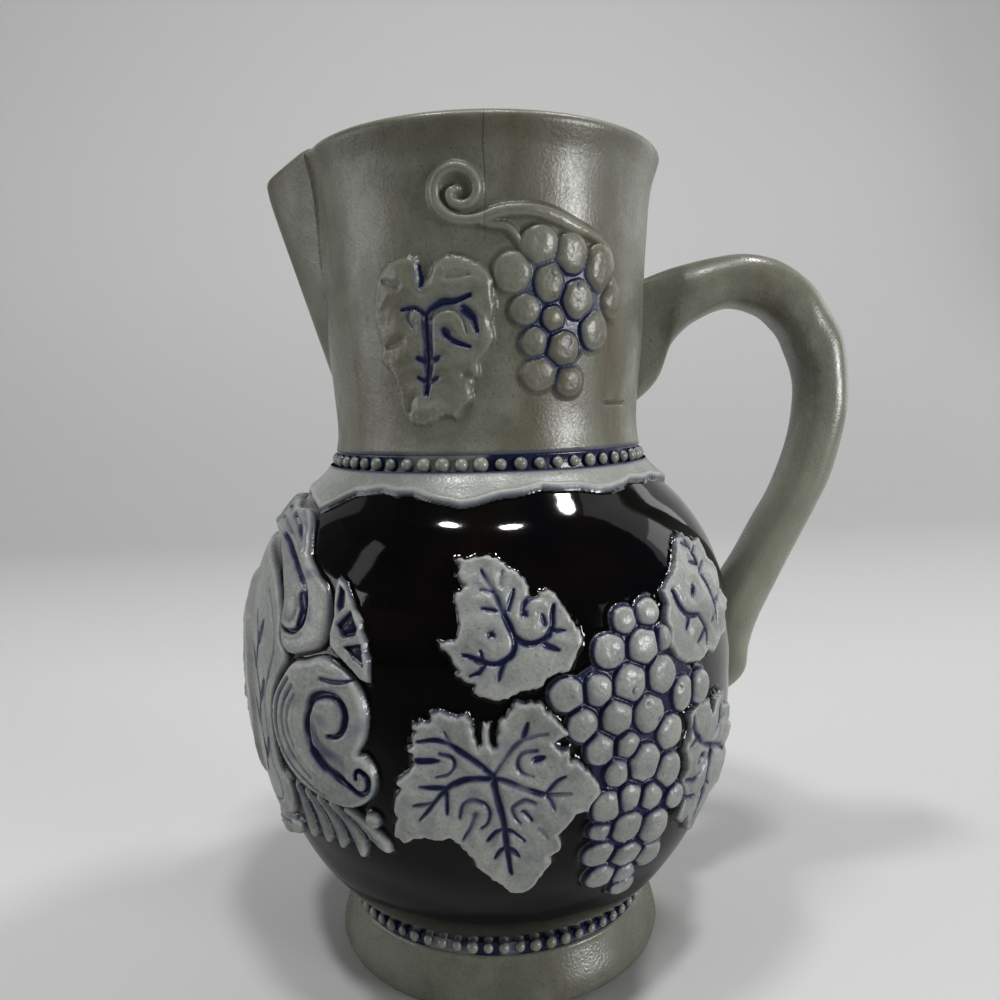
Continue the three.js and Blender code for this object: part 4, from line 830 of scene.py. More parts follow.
belly_leaf("leaf_upper_back", 136, seed=15, outline=[
    (124.2, 102.2), (124.6, 99.4), (123.3, 96.6), (124, 94), (123.6, 92), (125.2, 88.6), (128, 86.2),
    (133.6, 85.2), (137.4, 86.6), (139.4, 85.6), (143.6, 88.2), (147.2, 88.6), (146.8, 92.4), (150.2, 95.2),
    (147.4, 98.6), (148.6, 103.2), (145.8, 106.2), (146, 110.4), (141.8, 110), (139.6, 112.6),
    (136.2, 111.6), (133.6, 109.4), (131.4, 107), (128.6, 105)], veins=[
    ([(138.6, 111.4), (139.6, 107.6), (139.6, 103.4)], 0.5, 0.6, 0.75),
    ([(139, 109.4), (136.6, 110.4)], 0.42, 0.5, 0.7), ([(139.3, 107.6), (142, 109)], 0.42, 0.5, 0.7),
    ([(139.5, 105.6), (136.6, 106.4)], 0.42, 0.5, 0.7), ([(139.6, 104.2), (143, 105.6)], 0.42, 0.5, 0.7),
    ([(139.4, 103.6), (141.4, 99.6), (142.6, 95), (142, 90.6)], 0.55, 0.65, 0.8),
    ([(127.6, 101.6), (128.4, 98.6), (130.8, 96.2), (134.6, 95.4)], 0.6, 0.75, 0.95),
    ([(130.8, 96.2), (129.6, 93.4)], 0.5, 0.5, 0.85), ([(134.8, 101.4), (133.6, 99.6)], 0.6, 0.6, 0.85),
    ([(134.6, 95.4), (136.8, 91.8), (137, 88.4)], 0.5, 0.6, 0.7),
    ([(136.6, 92), (133.4, 89.6)], FINE, 0.5, 0.7), ([(142.4, 96), (145.4, 97.4)], FINE, 0.5, 0.6),
    ([(142.4, 94), (139.8, 92.6)], FINE, 0.5, 0.6)])
belly_leaf("leaf_lower_back", 140, seed=21, outline=[
    (129.8, 74), (131, 70), (128.6, 66.2), (129.6, 61.4), (128.4, 58.8), (130.4, 54.4), (128.2, 50.2),
    (130.6, 47.2), (132.6, 48.6), (135.6, 43.4), (138.4, 41.6), (140.8, 45.2), (142.6, 50), (146.2, 50.4),
    (149.6, 49.4), (149.4, 53.2), (152, 57), (150, 60.2), (152.4, 64.2), (149, 66), (149.6, 70.2),
    (145.4, 71.4), (144.4, 75.6), (140.4, 74.4), (138.8, 71.6), (136.8, 75.4), (133.2, 76)], veins=[
    ([(139.6, 63.4), (139.2, 57), (138.4, 51), (138, 46)], BOLD, 0.7, 0.75),
    ([(139.6, 63.4), (136.3, 59.1), (133, 57.6), (129.9, 58.6)], BOLD, 0.6, 0.75),
    ([(139.6, 63.4), (135, 65.8), (132, 69.6), (131.6, 73)], BOLD, 0.6, 0.7),
    ([(139.6, 63.4), (142.4, 67.4), (143.4, 71.6)], BOLD, 0.6, 0.7),
    ([(139.6, 63.4), (144.2, 61.6), (149, 58.6)], BOLD, 0.6, 0.7),
    ([(134, 53), (129.4, 54.6)], FINE, 0.5, 0.75), ([(139, 55), (141.4, 53)], FINE, 0.5, 0.7),
    ([(138.8, 54), (136.4, 52)], FINE, 0.5, 0.7), ([(145.4, 61), (147.6, 63.8)], FINE, 0.5, 0.7),
    ([(133.6, 67.8), (130.6, 66.4)], FINE, 0.5, 0.7), ([(142.6, 68), (146, 68.6)], FINE, 0.5, 0.6),
    ([(135.4, 62.6), (134.4, 61.4)], 0.8, 0.5, 0.8)])

# Belly grapes: a long bunch of half sunk berries on each side, with blue glaze run in between them.
# Each berry is a little pillow that its neighbours press flat.
BELLY_GRAPES = [  # degrees, height, half width, half height
    (113.7, 98.2, 2.8, 2.8), (119.5, 98.9, 2.9, 2.9), (109.9, 92.4, 3.6, 3.4), (117.6, 92.3, 3.9, 3.5),
    (122.6, 93, 2.2, 2.8), (101, 84.7, 3.6, 3.4), (107.1, 84.9, 3.0, 3.3), (114, 85.2, 3.7, 3.9),
    (121.7, 85.4, 3.8, 4.0), (127.4, 79.8, 3.2, 3.9), (103.8, 78, 3.2, 3.5), (110.9, 78.5, 3.5, 3.7),
    (118.4, 77.6, 3.8, 4.0), (107.3, 72.3, 3.2, 3.4), (113.2, 72, 3.0, 2.8), (123.9, 72.1, 3.7, 3.8),
    (110.8, 66.2, 2.9, 3.0), (117.4, 67, 3.9, 4.1), (123.9, 63.4, 3.5, 3.9), (108.8, 59, 3.3, 3.7),
    (114.2, 60, 2.9, 3.1), (119.6, 58.6, 3.0, 3.0), (107.8, 53.8, 2.8, 2.3), (114.2, 52.8, 3.9, 3.5),
    (121.4, 50.6, 3.9, 4.2), (126.4, 56.2, 2.9, 2.9), (108.2, 47.6, 3.7, 3.0), (115.3, 45.6, 4.0, 3.0),
    (122.2, 42.8, 3.7, 3.2), (109.6, 41.2, 3.5, 3.0), (116, 40, 3.0, 2.8), (117.2, 35.6, 3.2, 3.0),
    (133.4, 79.6, 3.4, 3.8)]
BELLY_WEB = [
    (99, 86), (107.5, 91), (112, 98), (120, 100), (124.5, 90), (135, 81.5), (134, 77), (127, 75),
    (126.6, 56), (124, 42), (117.4, 34), (108.6, 40), (106.6, 55), (105.4, 70), (101.8, 77)]


def bunch(spots, middle, shape):
    """Berries pressed against each other like pillows, over a thin web of clay."""
    web = inside(spots, flat(shape["web"], middle))
    first, second = np.full((2, len(spots)), 9.0)
    size, tall = np.ones((2, len(spots)))
    for k, (deg, z, w, h) in enumerate(shape["grapes"]):
        out = (spots - flat([(deg, z)], middle)[0]) / [w * 1.04, h * 1.04]
        turn = 0.5 * math.sin(k * 1.7)
        out = out @ np.array([[math.cos(turn), -math.sin(turn)], [math.sin(turn), math.cos(turn)]])
        q = (np.abs(out[:, 0]) ** 2.2 + np.abs(out[:, 1]) ** 2.2) ** (1 / 2.2)
        closer = q < first
        second = np.where(closer, first, np.minimum(second, q))
        size = np.where(closer, min(w, h), size)
        tall = np.where(closer, 0.94 + 0.09 * math.sin(k * 2.4), tall)
        first = np.where(closer, q, first)
    reach = shape["reach"]
    between = np.minimum((second - first) * 0.5, reach - first) * size
    between = between - 0.14
    seam = np.clip(between / 1.9, 0, 1)
    dome = shape["floor"] + (shape["rise"] * tall * (1 - 0.22 * np.clip(first, 0, 1.2) ** 2)
                             * np.sqrt(1 - (1 - seam) ** 2))
    on = between > 0
    edge = np.maximum(web - 0.4, (reach - first) * size)
    height = np.where(on, dome, shape["floor"])
    rim = np.exp(-(np.clip(between - 0.10, 0, None) / 0.40) ** 1.3)
    blue = np.where(on, rim, 1.0) * (0.85 + 0.2 * grain(spots, 9, 8))
    for deg, z, ring_size in shape["pips"]:
        off = spots - flat([(deg, z)], middle)[0]
        d = np.hypot(*off.T)
        side = 0.5 + 0.5 * np.cos(np.arctan2(off[:, 1], off[:, 0]) - 2 * deg)
        ring = np.exp(-((d - ring_size) / 0.26) ** 2) * side + 0.5 * np.exp(-(d / 0.3) ** 2)
        height = height - 0.3 * ring
        blue = np.maximum(blue, np.clip(ring, 0, 1) * 0.8)
    if "blue_within" in shape:
        deg, z, wide, high = shape["blue_within"]
        x, y = flat([(deg, z)], middle)[0]
        blue = blue * np.clip(1.75 - np.hypot((spots[:, 0] - x) / wide, (spots[:, 1] - y) / high), 0, 1)
    return height, blue, edge


def bunch_shape(grapes, web, **more):
    outline = [(deg + 7 * math.cos(t), z + 5 * math.sin(t))
               for deg, z, wide, high in grapes for t in (0.8, 2.4, 3.9, 5.5)]
    return dict(press=bunch, outline=outline, grapes=grapes, web=web, **more)


pair("belly_bunch", 115, [bunch_shape(BELLY_GRAPES, BELLY_WEB, floor=0.2, rise=2.3, reach=1.11, pips=[
    (114.6, 83.6, 0.7), (120.6, 76, 0.6), (125.8, 81.4, 0.5), (118.2, 63.2, 0.6), (117.8, 80.2, 0.5)])],
    seed=31, rough=0.06)

# Neck sprig: a leaf, a bunch and a coiled tendril in low relief on each side of the neck. The
# glaze over them is the neck's own, with cobalt only in the leaf's ribs and between the berries.
ON_NECK = dict(slot="grey_glaze", ground="stone", creep=0.3, edge_blue=0.0)
neck_leaf = dict(rise=1.2, roll=2.0, quilt=0.4, crimp=0.16, wobble=0.2, round=True, outline=[
    (68.8, 173.6), (66.9, 176), (62.2, 176), (57.5, 175), (54.1, 172.8), (52.4, 169.4), (51.2, 165.3),
    (51.9, 160.9), (53.4, 157.3), (52.9, 154.2), (56.4, 151.8), (58.8, 147.1), (59.5, 142.8), (63.4, 139.8),
    (68.5, 139.6), (74.4, 141.6), (78, 140.8), (80.2, 143.2), (83.4, 144.9), (83, 148.1), (85.5, 150.1),
    (85.6, 152.9), (88.6, 155.6), (90.4, 158.3), (89.6, 161.8), (91, 164.5), (90.2, 167.8), (90.3, 170.5),
    (88.5, 172.6), (86, 174.1), (80.1, 175.9), (75.3, 175.4), (72.8, 173.7), (71.3, 171.4),
    (69.8, 170.8)], veins=[
    ([(70.1, 163.3), (70.2, 159.5), (70.2, 155.3), (69.8, 151.1), (68.6, 146.4)], 0.98, 0.85, 1.0),
    ([(70.1, 163.3), (68.3, 164.4), (66, 165.2), (62.1, 164.9)], 0.6, 0.6, 0.85),
    ([(64.9, 164.9), (63.9, 162.9), (65.4, 161)], 0.5, 0.5, 0.5),
    ([(70.3, 163.3), (72.1, 164.9), (75.2, 166), (78.6, 166.1), (83.6, 167.4)], 0.8, 0.7, 1.0),
    ([(71.1, 160.2), (71.5, 162.4), (74.1, 164.2), (78.5, 164.4), (81, 162.5),
      (82.2, 159.4)], 0.5, 0.5, 0.15), ([(81.4, 164.6), (84.1, 162.5), (85.4, 159.6)], 0.8, 0.65, 0.95),
    ([(75.1, 160), (76.7, 158.5), (79.5, 157.3), (83.1, 156.4)], 0.55, 0.6, 0.9),
    ([(75.4, 159.9), (76.8, 158.6)], 1.0, 0.6, 0.9), ([(66.6, 154.4), (69.9, 153.1)], 0.5, 0.5, 0.95),
    ([(73.3, 154.3), (70.2, 153.1)], 0.5, 0.5, 0.95), ([(66.4, 150.1), (69.6, 148.8)], 0.5, 0.5, 0.95),
    ([(72.6, 150), (69.6, 148.8)], 0.5, 0.5, 0.95), ([(68.5, 174), (68.7, 169.6)], 0.85, 1.1, 0.9),
    ([(61, 170), (56, 171.4)], 0.8, 0.4, 0.1), ([(77, 171.4), (83.4, 171.6)], 0.8, 0.4, 0.1),
    ([(61.6, 158.4), (56.4, 157)], 0.8, 0.4, 0.1), ([(81, 150.6), (84.6, 148.8)], 0.7, 0.35, 0.1),
    ([(64.6, 145.8), (62.6, 142.6)], 0.8, 0.35, 0.1)], swells=[
    ([(53, 164), (55, 173), (61, 175), (67, 173), (67.6, 168), (60, 166.6)], 0.5, 3.0),
    ([(73, 169), (74, 174), (80, 175), (87, 173.6), (89.6, 168.6), (84, 168)], 0.5, 3.0),
    ([(53, 155), (53, 162), (60, 163.6), (67.6, 161), (67.8, 154), (60, 152)], 0.45, 3.2),
    ([(84.6, 154), (89.4, 158), (89, 164), (85, 165)], 0.4, 2.0),
    ([(72, 148), (72.6, 154), (80, 156), (84, 153), (80, 147)], 0.4, 3.0),
    ([(61, 143), (62, 149.6), (66.6, 150), (69, 145), (75, 146), (73, 142), (66, 140.6)], 0.45, 2.6)])
pair("neck_leaf", 70.5, [neck_leaf], seed=41, rough=0.03, **ON_NECK)

NECK_GRAPES = [
    (96.2, 172, 3.7, 4.0), (104.4, 177.9, 4.0, 3.8), (114.9, 176.3, 3.7, 4.2), (126.2, 173.6, 4.0, 4.9),
    (107.5, 169.9, 3.2, 4.0), (117.5, 166.4, 3.8, 4.0), (131.4, 166.9, 3.0, 4.2), (99.9, 164.1, 3.1, 3.2),
    (108.8, 162.2, 2.6, 2.8), (124.1, 159.8, 3.7, 4.1), (102.9, 157.2, 2.9, 3.1), (112.5, 155.8, 3.7, 3.6),
    (104.5, 150.2, 3.8, 3.4), (114.9, 148.5, 3.3, 3.2)]
NECK_WEB = [
    (95.6, 172), (102, 180), (126, 177.6), (132, 166), (126.6, 158.6), (116.4, 152), (116, 147),
    (103.6, 147.4), (99, 160)]
pair("neck_bunch", 113, [bunch_shape(NECK_GRAPES, NECK_WEB, floor=0.1, rise=1.7, reach=1.12,
                                     blue_within=(112.5, 162.5, 8.0, 11.5), pips=[
    (108.6, 172.3, 0.7), (117.6, 169.4, 0.7), (113.2, 157.4, 0.8), (127.4, 170.0, 0.5)])],
    seed=51, rough=0.045, **ON_NECK)

TENDRIL = [
    (80.3, 189.3), (78.7, 188.4), (79.3, 186.8), (82, 185.9), (85.2, 186.8), (86.5, 189.4), (84.9, 192.2),
    (80.9, 193.6), (76.8, 192.7), (74.4, 190.1), (74.6, 186.8), (77.4, 184.2), (81.5, 183), (86.8, 183.1),
    (92.3, 184.4), (97.7, 184.9), (103.4, 184.8), (109.3, 183.7), (115.7, 182), (120.5, 181),
    (125.5, 179.6)]
GRAPE_STALK = [
    (86.6, 182.6), (89.5, 181.9), (94, 181.6), (96.8, 180.1), (99.6, 177.2)]


def roll_of_clay(spots, middle, shape):
    """A round roll of clay laid along a run, tapering at its ends."""
    d, along = nearest(spots, smooth_run(flat(shape["outline"], middle), 6))
    w = np.interp(along, *shape["half"])
    taper = np.interp(along, [0, 0.03, 0.8, 1], [0.7, 1, 1, 0.5])
    height = shape["rise"] * np.sqrt(np.clip(1 - (d / w) ** 2, 0, 1)) * taper
    return height, np.zeros(len(spots)), w - d


pair("neck_tendril", 98, [
    dict(press=roll_of_clay, outline=TENDRIL, rise=1.5,
         half=([0, 0.25, 0.6, 0.85, 1], [1.0, 1.25, 1.35, 1.6, 1.0])),
    dict(press=roll_of_clay, outline=GRAPE_STALK, rise=1.0, half=([0, 0.5, 1], [0.9, 1.1, 0.9]))],
    seed=61, rough=0.035, **ON_NECK)

# Frame under the spout: a raised field between bold scrolls, with a crest over it, a foot piece under
# it, and on each side a pierced fan, a spray of fronds and a drop. All of it is moulded and laid on.
volute = dict(rise=1.7, roll=1.7, round=True, outline=[
    (34.4, 113.6), (38.9, 112.6), (43.4, 109.6), (47.4, 107.2), (50.9, 105.2), (53.0, 101.8), (53.5, 98),
    (53, 94.6), (51, 92.4), (47.2, 91), (43.4, 89.8), (40.6, 90.6), (39, 93.2), (38.4, 97.4), (38, 101),
    (35.4, 104.6), (31.6, 107.8), (26, 111), (22.6, 113),
    (26, 114.4)], domes=[(42.2, 99.8, 2.5, 3.1, 0.9)], veins=[
    ([(25.5, 113.4), (31.6, 112), (37, 109.8), (42.4, 106.6), (45.8, 103.7), (47, 100.2), (46.6, 97.2),
      (44.4, 95), (41.4, 94.7), (39.2, 95.6)], 0.6, 1.5, 0.95),
    ([(45.0, 102.6), (46.4, 99.6), (45.4, 96.6)], 0.8, 0.9, 1.0),
    ([(28, 109.8), (33, 107.6), (37.4, 103.6), (39.6, 99.8)], 0.35, 0.5, 0.3)])
leaf_end = dict(rise=2.1, roll=1.5, round=True, outline=[
    (32.6, 118.7), (37, 116), (39.7, 113.2), (42.3, 109.9), (41, 109.2), (38.4, 109.8), (33.6, 111.8),
    (26, 113.4), (19.5, 114.2), (18.5, 116), (20, 118.2), (26, 119)], veins=[
    ([(25.5, 117.2), (33, 115.4), (36.6, 113.4), (39.2, 111)], 0.6, 1.0, 0.7),
    ([(21.5, 115.6), (30.1, 113.9), (35.7, 112.2), (38.8, 110.5)], 0.45, 0.8, 0.5),
    ([(29.6, 118.4), (35.4, 116), (38.4, 113.2), (40.6, 110.8)], 0.4, 0.6, 0.3)])
pair("frame_volute", 41, [volute, leaf_end], seed=71, wash=0.4)

scroll = dict(rise=2.1, roll=1.7, round=True, outline=[
    (43.6, 88), (48.2, 89.6), (52.4, 91), (55.9, 90.2), (60.1, 87.7), (62.2, 84.4), (63.2, 80.6),
    (63, 76.8), (61.8, 73.4), (60.9, 71.6), (62.6, 71), (64, 68.6), (64.5, 65.4), (63.3, 62.2),
    (60.4, 59.5), (56.6, 58.3), (51.6, 58.8), (46.6, 60), (42.4, 62), (39, 64.6), (36.3, 68.6), (35.4, 73),
    (36, 77.6), (38.4, 82)], swells=[
    ([(47.2, 85), (45, 79), (44.8, 74), (46.6, 70), (49.6, 67), (54, 64.6), (57, 63), (53.6, 62),
      (48, 64.6), (44.4, 69), (43.4, 75), (44.6, 81)], 0.5, 1.2),
    ([(50.5, 77.6), (51.3, 75), (53, 73.2), (55.6, 71.8), (58.9, 71.2), (58.6, 68.2), (59.6, 65.4),
      (58.2, 65.4), (55.8, 66.8), (52.8, 68.2), (50.6, 70.8), (49.7, 73.8),
      (49.7, 76.6)], -0.9, 1.7)], domes=[(54.2, 78.5, 3.3, 3.6, 0.75)], veins=[
    ([(43, 84.6), (39.9, 80.6), (38.4, 76.4), (38.2, 71.7), (39.9, 67.3), (43.3, 64.2), (48.1, 61.8),
      (52.3, 60.2)], 0.42, 0.9, 0.5),
    ([(44.4, 83.4), (41.8, 79.6), (40.5, 75), (41.3, 70.6), (44, 66.8), (48.8, 63.4)], 0.4, 0.8, 0.45),
    ([(45.4, 81.4), (42.8, 77.3), (42.5, 73.5), (44.1, 69.8), (47, 66.9)], 0.36, 0.6, 0.3),
    ([(49.8, 79.1), (49.2, 76.6), (49.3, 73.3), (50.3, 70.3), (52.8, 67.5), (55.9, 66), (58.4, 64.6),
      (60.6, 63), (62.2, 63.3), (63, 65.2), (62.8, 67.1), (61.6, 68.2), (60.5, 67.6),
      (60.5, 66.2)], 0.62, 1.5, 1.0),
    ([(50.3, 70.3), (52.8, 67.5), (55.9, 66), (58.4, 64.6)], 1.1, 1.2, 0.9),
    ([(50.4, 75.6), (51.6, 72.2), (54.4, 69.8), (58.2, 68.2)], 1.7, 0.2, 0.42),
    ([(49.8, 79.1), (50.9, 81.8), (53.4, 83.2), (56.2, 83.3), (58.2, 82), (59, 79.5), (58.3, 76.7),
      (56.7, 74.9), (54.6, 74.6)], 0.72, 1.4, 1.0),
    ([(53, 86.6), (56.6, 86.5), (60.2, 87.2)], 0.45, 0.8, 0.75)])
pair("frame_scroll", 49, [scroll], seed=73, wash=0.4)

fan = dict(rise=1.7, roll=0.8, outline=[
    (53.9, 107.4), (55.9, 106.3), (58.9, 102.7), (59.4, 101.4), (61.3, 99.3), (61.6, 97.6), (62.8, 95.3),
    (62.9, 93.4), (63.8, 91.8), (63.7, 87), (62, 87.6), (60.3, 89.2), (57.4, 91.4), (54.6, 93.4),
    (54.2, 96), (54.8, 99.6), (54.2, 103.6)], swells=[
    ([(56.9, 97.2), (58.9, 99.8), (60.1, 97.5), (59.8, 96.9), (57.6, 96.4)], 1.1, 0.8)], pits=[
    ([(55.4, 105.4), (56.6, 104.6), (57.3, 103), (57.2, 101.6), (56.2, 100.6), (55.6, 101.6)], 1.5, 1.0),
    ([(56, 98.0), (58.9, 101), (60.8, 97.8), (60.6, 96.4), (57.5, 95.6)], 1.5, 0.8),
    ([(58.3, 93.9), (61.9, 94.7), (62.7, 90.4), (60.8, 91.4)], 1.5, 1.0)])
pair("frame_fan", 58.6, [fan], seed=75)

FROND_BED = [
    (41, 60), (46, 59.6), (52, 59), (58, 57.8), (61.6, 55), (62.4, 52.4), (58.6, 49.6), (52.4, 48.6),
    (47, 48), (42.6, 48.4), (40.6, 54)]
FROND_RUNS = [
    [(42, 60), (43.7, 55.4), (43.9, 50.4), (42.9, 46)],
    [(45, 59.4), (48.2, 55.2), (49.2, 51), (48.3, 46.8)],
    [(48.6, 58.8), (52.2, 55), (53.6, 51), (52.7, 46.9)],
    [(52, 58.4), (56.4, 55), (58.5, 50.8), (58, 46.2)], [(56, 58), (60.2, 55.6), (63.2, 52.2), (65.2, 49)]]
FROND_HALF_WIDTHS = [0.7, 1.15, 1.55, 1.95, 1.8, 0.7]
BESIDE_MIDDLE = [-0.35, -0.1]


def ribbon(run, widths):
    """Outline round a run of (degrees, height) places, at the given half widths."""
    run = smooth_run(run, 4)
    half = np.interp(np.linspace(0, 1, len(run)), np.linspace(0, 1, len(widths)), widths)
    per = np.radians(wall(run[:, 1])[0])
    ahead = np.gradient(np.stack([run[:, 0] * per, run[:, 1]], -1), axis=0)
    ahead /= np.hypot(*ahead.T)[:, None]
    side = np.stack([-ahead[:, 1] * half / per, ahead[:, 0] * half], -1)
    return np.vstack([run + side, (run - side)[::-1]])


fronds = [dict(rise=0.35, roll=0.8, round=True, outline=FROND_BED, pits=[(FROND_BED, 0.0, 0.9)])]
for run in FROND_RUNS:
    rib = smooth_run(run, 4)[2:-3] + BESIDE_MIDDLE
    fronds.append(dict(rise=1.7, roll=1.7, outline=ribbon(run, FROND_HALF_WIDTHS),
                       veins=[(rib, 0.3, 0.45, 0.35)]))
pair("frame_frond", 51, fronds, seed=77, wash=0.4)

drop = dict(rise=1.7, roll=1.9, outline=[(62.6 + 1.8 * math.cos(t), 56.4 + 1.9 * math.sin(t))
                                         for t in np.linspace(0, 2 * math.pi, 14, endpoint=False)])
pair("frame_drop", 62.6, [drop], seed=79, rough=0.04)


def both_halves(half):
    """A closed outline from its right half, mirrored at 0 degrees."""
    return half + [(-d, z) for d, z in reversed(half)]


def both_sides(runs, *cut):
    """Veins of one width, depth and blue along some runs and along their mirror images."""
    return [([(side * d, z) for d, z in run], *cut) for side in (1, -1) for run in runs]


crest = dict(rise=1.5, roll=1.4, round=True, domes=[(0, 112.8, 1.5, 1.4, 0.6)], outline=both_halves([
    (0, 120.4), (8, 119.3), (13, 120.2), (20, 119), (28, 118.6), (33.4, 117.9), (31, 115.2), (25, 113.2),
    (14, 113), (6, 112), (0, 111.2)]), swells=[(both_halves([
    (0, 120.2), (5, 119.4), (8.6, 117), (6, 113), (0, 111.6)]), 0.7, 1.2)], veins=both_sides([
    [(0.8, 112.6), (1.6, 116), (2.6, 119.4)], [(1.6, 112.6), (4, 115.4), (6, 118)],
    [(9.4, 117.6), (15, 118), (21, 116.8), (27, 117)],
    [(9.6, 115), (15, 115.8), (21, 114.8), (27, 114.6)]], 0.42, 0.7, 0.7))
lay("frame_crest_glazed", 0, [crest], "frame_crest", seed=81)

ROW_KNOBS = [(d, 37.6 + abs(d) * 0.14, 1.9, 1.8, 1.1) for d in (-26, -21.6, -17, -12.4, 12.4, 17, 21.6, 26)]
MIDDLE_KNOBS = [(d, z, 2.2, 2.1, 1.3)
                for d, z in ((0, 34.4), (-3.4, 38.2), (3.4, 38.2), (-7.6, 37), (7.6, 37))]
foot_piece = dict(rise=1.7, roll=1.5, round=True, domes=ROW_KNOBS + MIDDLE_KNOBS, outline=both_halves([
    (0, 41.8), (10, 42), (20, 43), (30, 45), (35.6, 47.8), (39.4, 46.8), (34, 42.4), (25, 38.6), (14, 36.6),
    (8, 33.6), (0, 31.6)]), veins=[
    ([(-34, 45.6), (-20, 41.4), (-8, 40.6), (0, 40.4), (8, 40.6), (20, 41.4), (34, 45.6)], 0.45, 0.6, 0.7)])
lay("frame_foot_piece_glazed", 0, [foot_piece], "frame_foot_piece", seed=83)

# Field: the raised middle of the frame. It carries a plain bunch of berries with leaves over it and a
# climbing vine at each edge, all moulded in low relief with cobalt in the lines.
FIELD_VINE = [(25.4, 56), (27.6, 62), (25.2, 69), (27.4, 76), (25.2, 83), (27.2, 90), (24.8, 96)]
FIELD_BERRIES = [
    (0, 57.6), (-3, 61.8), (3, 61.8), (0, 66), (-6, 66.2), (6, 66.2), (-3.1, 70.4), (3.1, 70.4), (-8.6, 71),
    (8.6, 71), (0, 74.8), (-5.8, 75.2), (5.8, 75.2)]
panel = dict(rise=1.05, roll=0.9, round=True, outline=both_halves([
    (0, 110.5), (12, 110), (24, 107.6), (32, 104.6), (37.6, 98), (38.8, 92), (41.4, 88.6), (37.2, 83),
    (34.2, 76), (33.8, 68), (35.6, 61), (39.4, 57.4), (37, 50.5), (30, 46.2), (18, 43),
    (0, 42.2)]), swells=[(both_halves([
    (0, 101.8), (8, 101.4), (14, 98.6), (18.6, 93), (20, 84), (20.6, 74), (20, 64), (17.4, 55), (11, 48.4),
    (0, 45.4)]), 1.5, 1.6), (both_halves([
    (0, 99), (7, 98.4), (12, 95.6), (15.6, 91), (16.8, 84), (17.2, 74), (16.6, 65), (14, 57.4), (8.6, 51.6),
    (0, 49)]), 0.8, 7.0)])
panel["veins"] = both_sides([[
    (29.6, 101.6), (34, 97), (36.4, 90), (33.6, 83.6), (30.6, 76), (30.4, 68), (32, 60), (34, 56),
    (31.6, 51.4), (24, 48)]], 0.35, 0.4, 0.45)
panel["veins"] += both_sides([FIELD_VINE], 0.45, 0.5, 0.9)
for k, (d, z) in enumerate(FIELD_VINE[1:-1]):
    out = 2.6 if k % 2 else -2.6
    shoot = [(d - out * 0.2, z - 0.6), (d - out * 0.8, z + 1.6), (d - out * 1.15, z + 4.2)]
    panel["veins"] += both_sides([shoot], 1.0, 0.4, 0.9)
panel["veins"] += both_sides([[(0.6, 79), (4, 83), (9.4, 85.4)]], 0.4, 0.4, 0.9)
panel["veins"] += both_sides([[(2.4, 81.4), (5, 86), (5.4, 90.4)]], 1.1, 0.4, 0.9)
panel["veins"] += both_sides([[(5.6, 84), (9.6, 86.6), (11.4, 90)]], 1.1, 0.4, 0.9)
panel["veins"] += both_sides([[(6.6, 84.4), (10.4, 83.4), (12.6, 80.6)]], 1.0, 0.4, 0.9)
panel["veins"].append(([(0, 77.6), (0.5, 83), (-0.3, 88.6)], 0.5, 0.5, 0.9))
panel["pits"] = [(both_halves([(0, 78), (7, 78), (11, 73), (9, 68), (5, 62), (0, 55.2)]), 0.3, 0.85)]
panel["domes"] = [(d, z, 2.45, 2.45, 1.2) for d, z in FIELD_BERRIES]
lay("frame_field_glazed", 0, [panel], "frame_panel", seed=85, step=0.42)

# Table and backdrop: one plain pale sweep of card, painted a little darker towards the back as painted
# shade, as in the photograph. It runs flat under the pot and rises in a wide bend behind it.


def matte(name, near, far, start, stop):
    """Matte grey that runs smoothly from one level at y = start to another at y = stop."""
    mat = bpy.data.materials.new(name)
    mat.use_nodes = True
    tree = mat.node_tree
    place = tree.nodes.new("ShaderNodeTexCoord")
    parts = tree.nodes.new("ShaderNodeSeparateXYZ")
    tree.links.new(place.outputs["Object"], parts.inputs[0])
    run = tree.nodes.new("ShaderNodeMapRange")
    run.interpolation_type = "SMOOTHSTEP"
    run.inputs["From Min"].default_value = start
    run.inputs["From Max"].default_value = stop
    tree.links.new(parts.outputs["Y"], run.inputs["Value"])
    mix = tree.nodes.new("ShaderNodeMix")
    mix.data_type = "RGBA"
    tree.links.new(run.outputs["Result"], mix.inputs[0])
    for socket, level in ((6, near), (7, far)):
        mix.inputs[socket].default_value = (level, level * 1.005, level * 0.995, 1)
    shader = tree.nodes["Principled BSDF"]
    shader.inputs["Roughness"].default_value = 0.6
    tree.links.new(mix.outputs[2], shader.inputs["Base Color"])
    return mat


SWEEP_NEAR, SWEEP_FAR = 0.68, 0.54
SWEEP_FRONT, SWEEP_BEND_Y, SWEEP_BEND, SWEEP_TOP, SWEEP_HALF_WIDTH = -3.0, 0.65, 0.5, 2.2, 2.4
sweep_run = [(SWEEP_FRONT, 0.0), (SWEEP_BEND_Y, 0.0)]
sweep_run += [(SWEEP_BEND_Y + SWEEP_BEND * math.sin(t), SWEEP_BEND - SWEEP_BEND * math.cos(t))
              for t in np.linspace(0.1, math.pi / 2, 14)]
sweep_run.append((SWEEP_BEND_Y + SWEEP_BEND, SWEEP_TOP))
sweep_mesh = bpy.data.meshes.new("sweep")
sweep_mesh.from_pydata([(x, y, z) for y, z in sweep_run for x in (-SWEEP_HALF_WIDTH, SWEEP_HALF_WIDTH)], [],
                       [(2 * i, 2 * i + 1, 2 * i + 3, 2 * i + 2) for i in range(len(sweep_run) - 1)])
# Painted shade: the card's colour runs from the near level to the darker far level towards the back.
sweep_mesh.materials.append(matte("pale_sweep", SWEEP_NEAR, SWEEP_FAR, 0.15, 1.1))
sweep_mesh.polygons.foreach_set("use_smooth", np.ones(len(sweep_mesh.polygons), bool))
sweep = bpy.data.objects.new("pale_sweep", sweep_mesh)
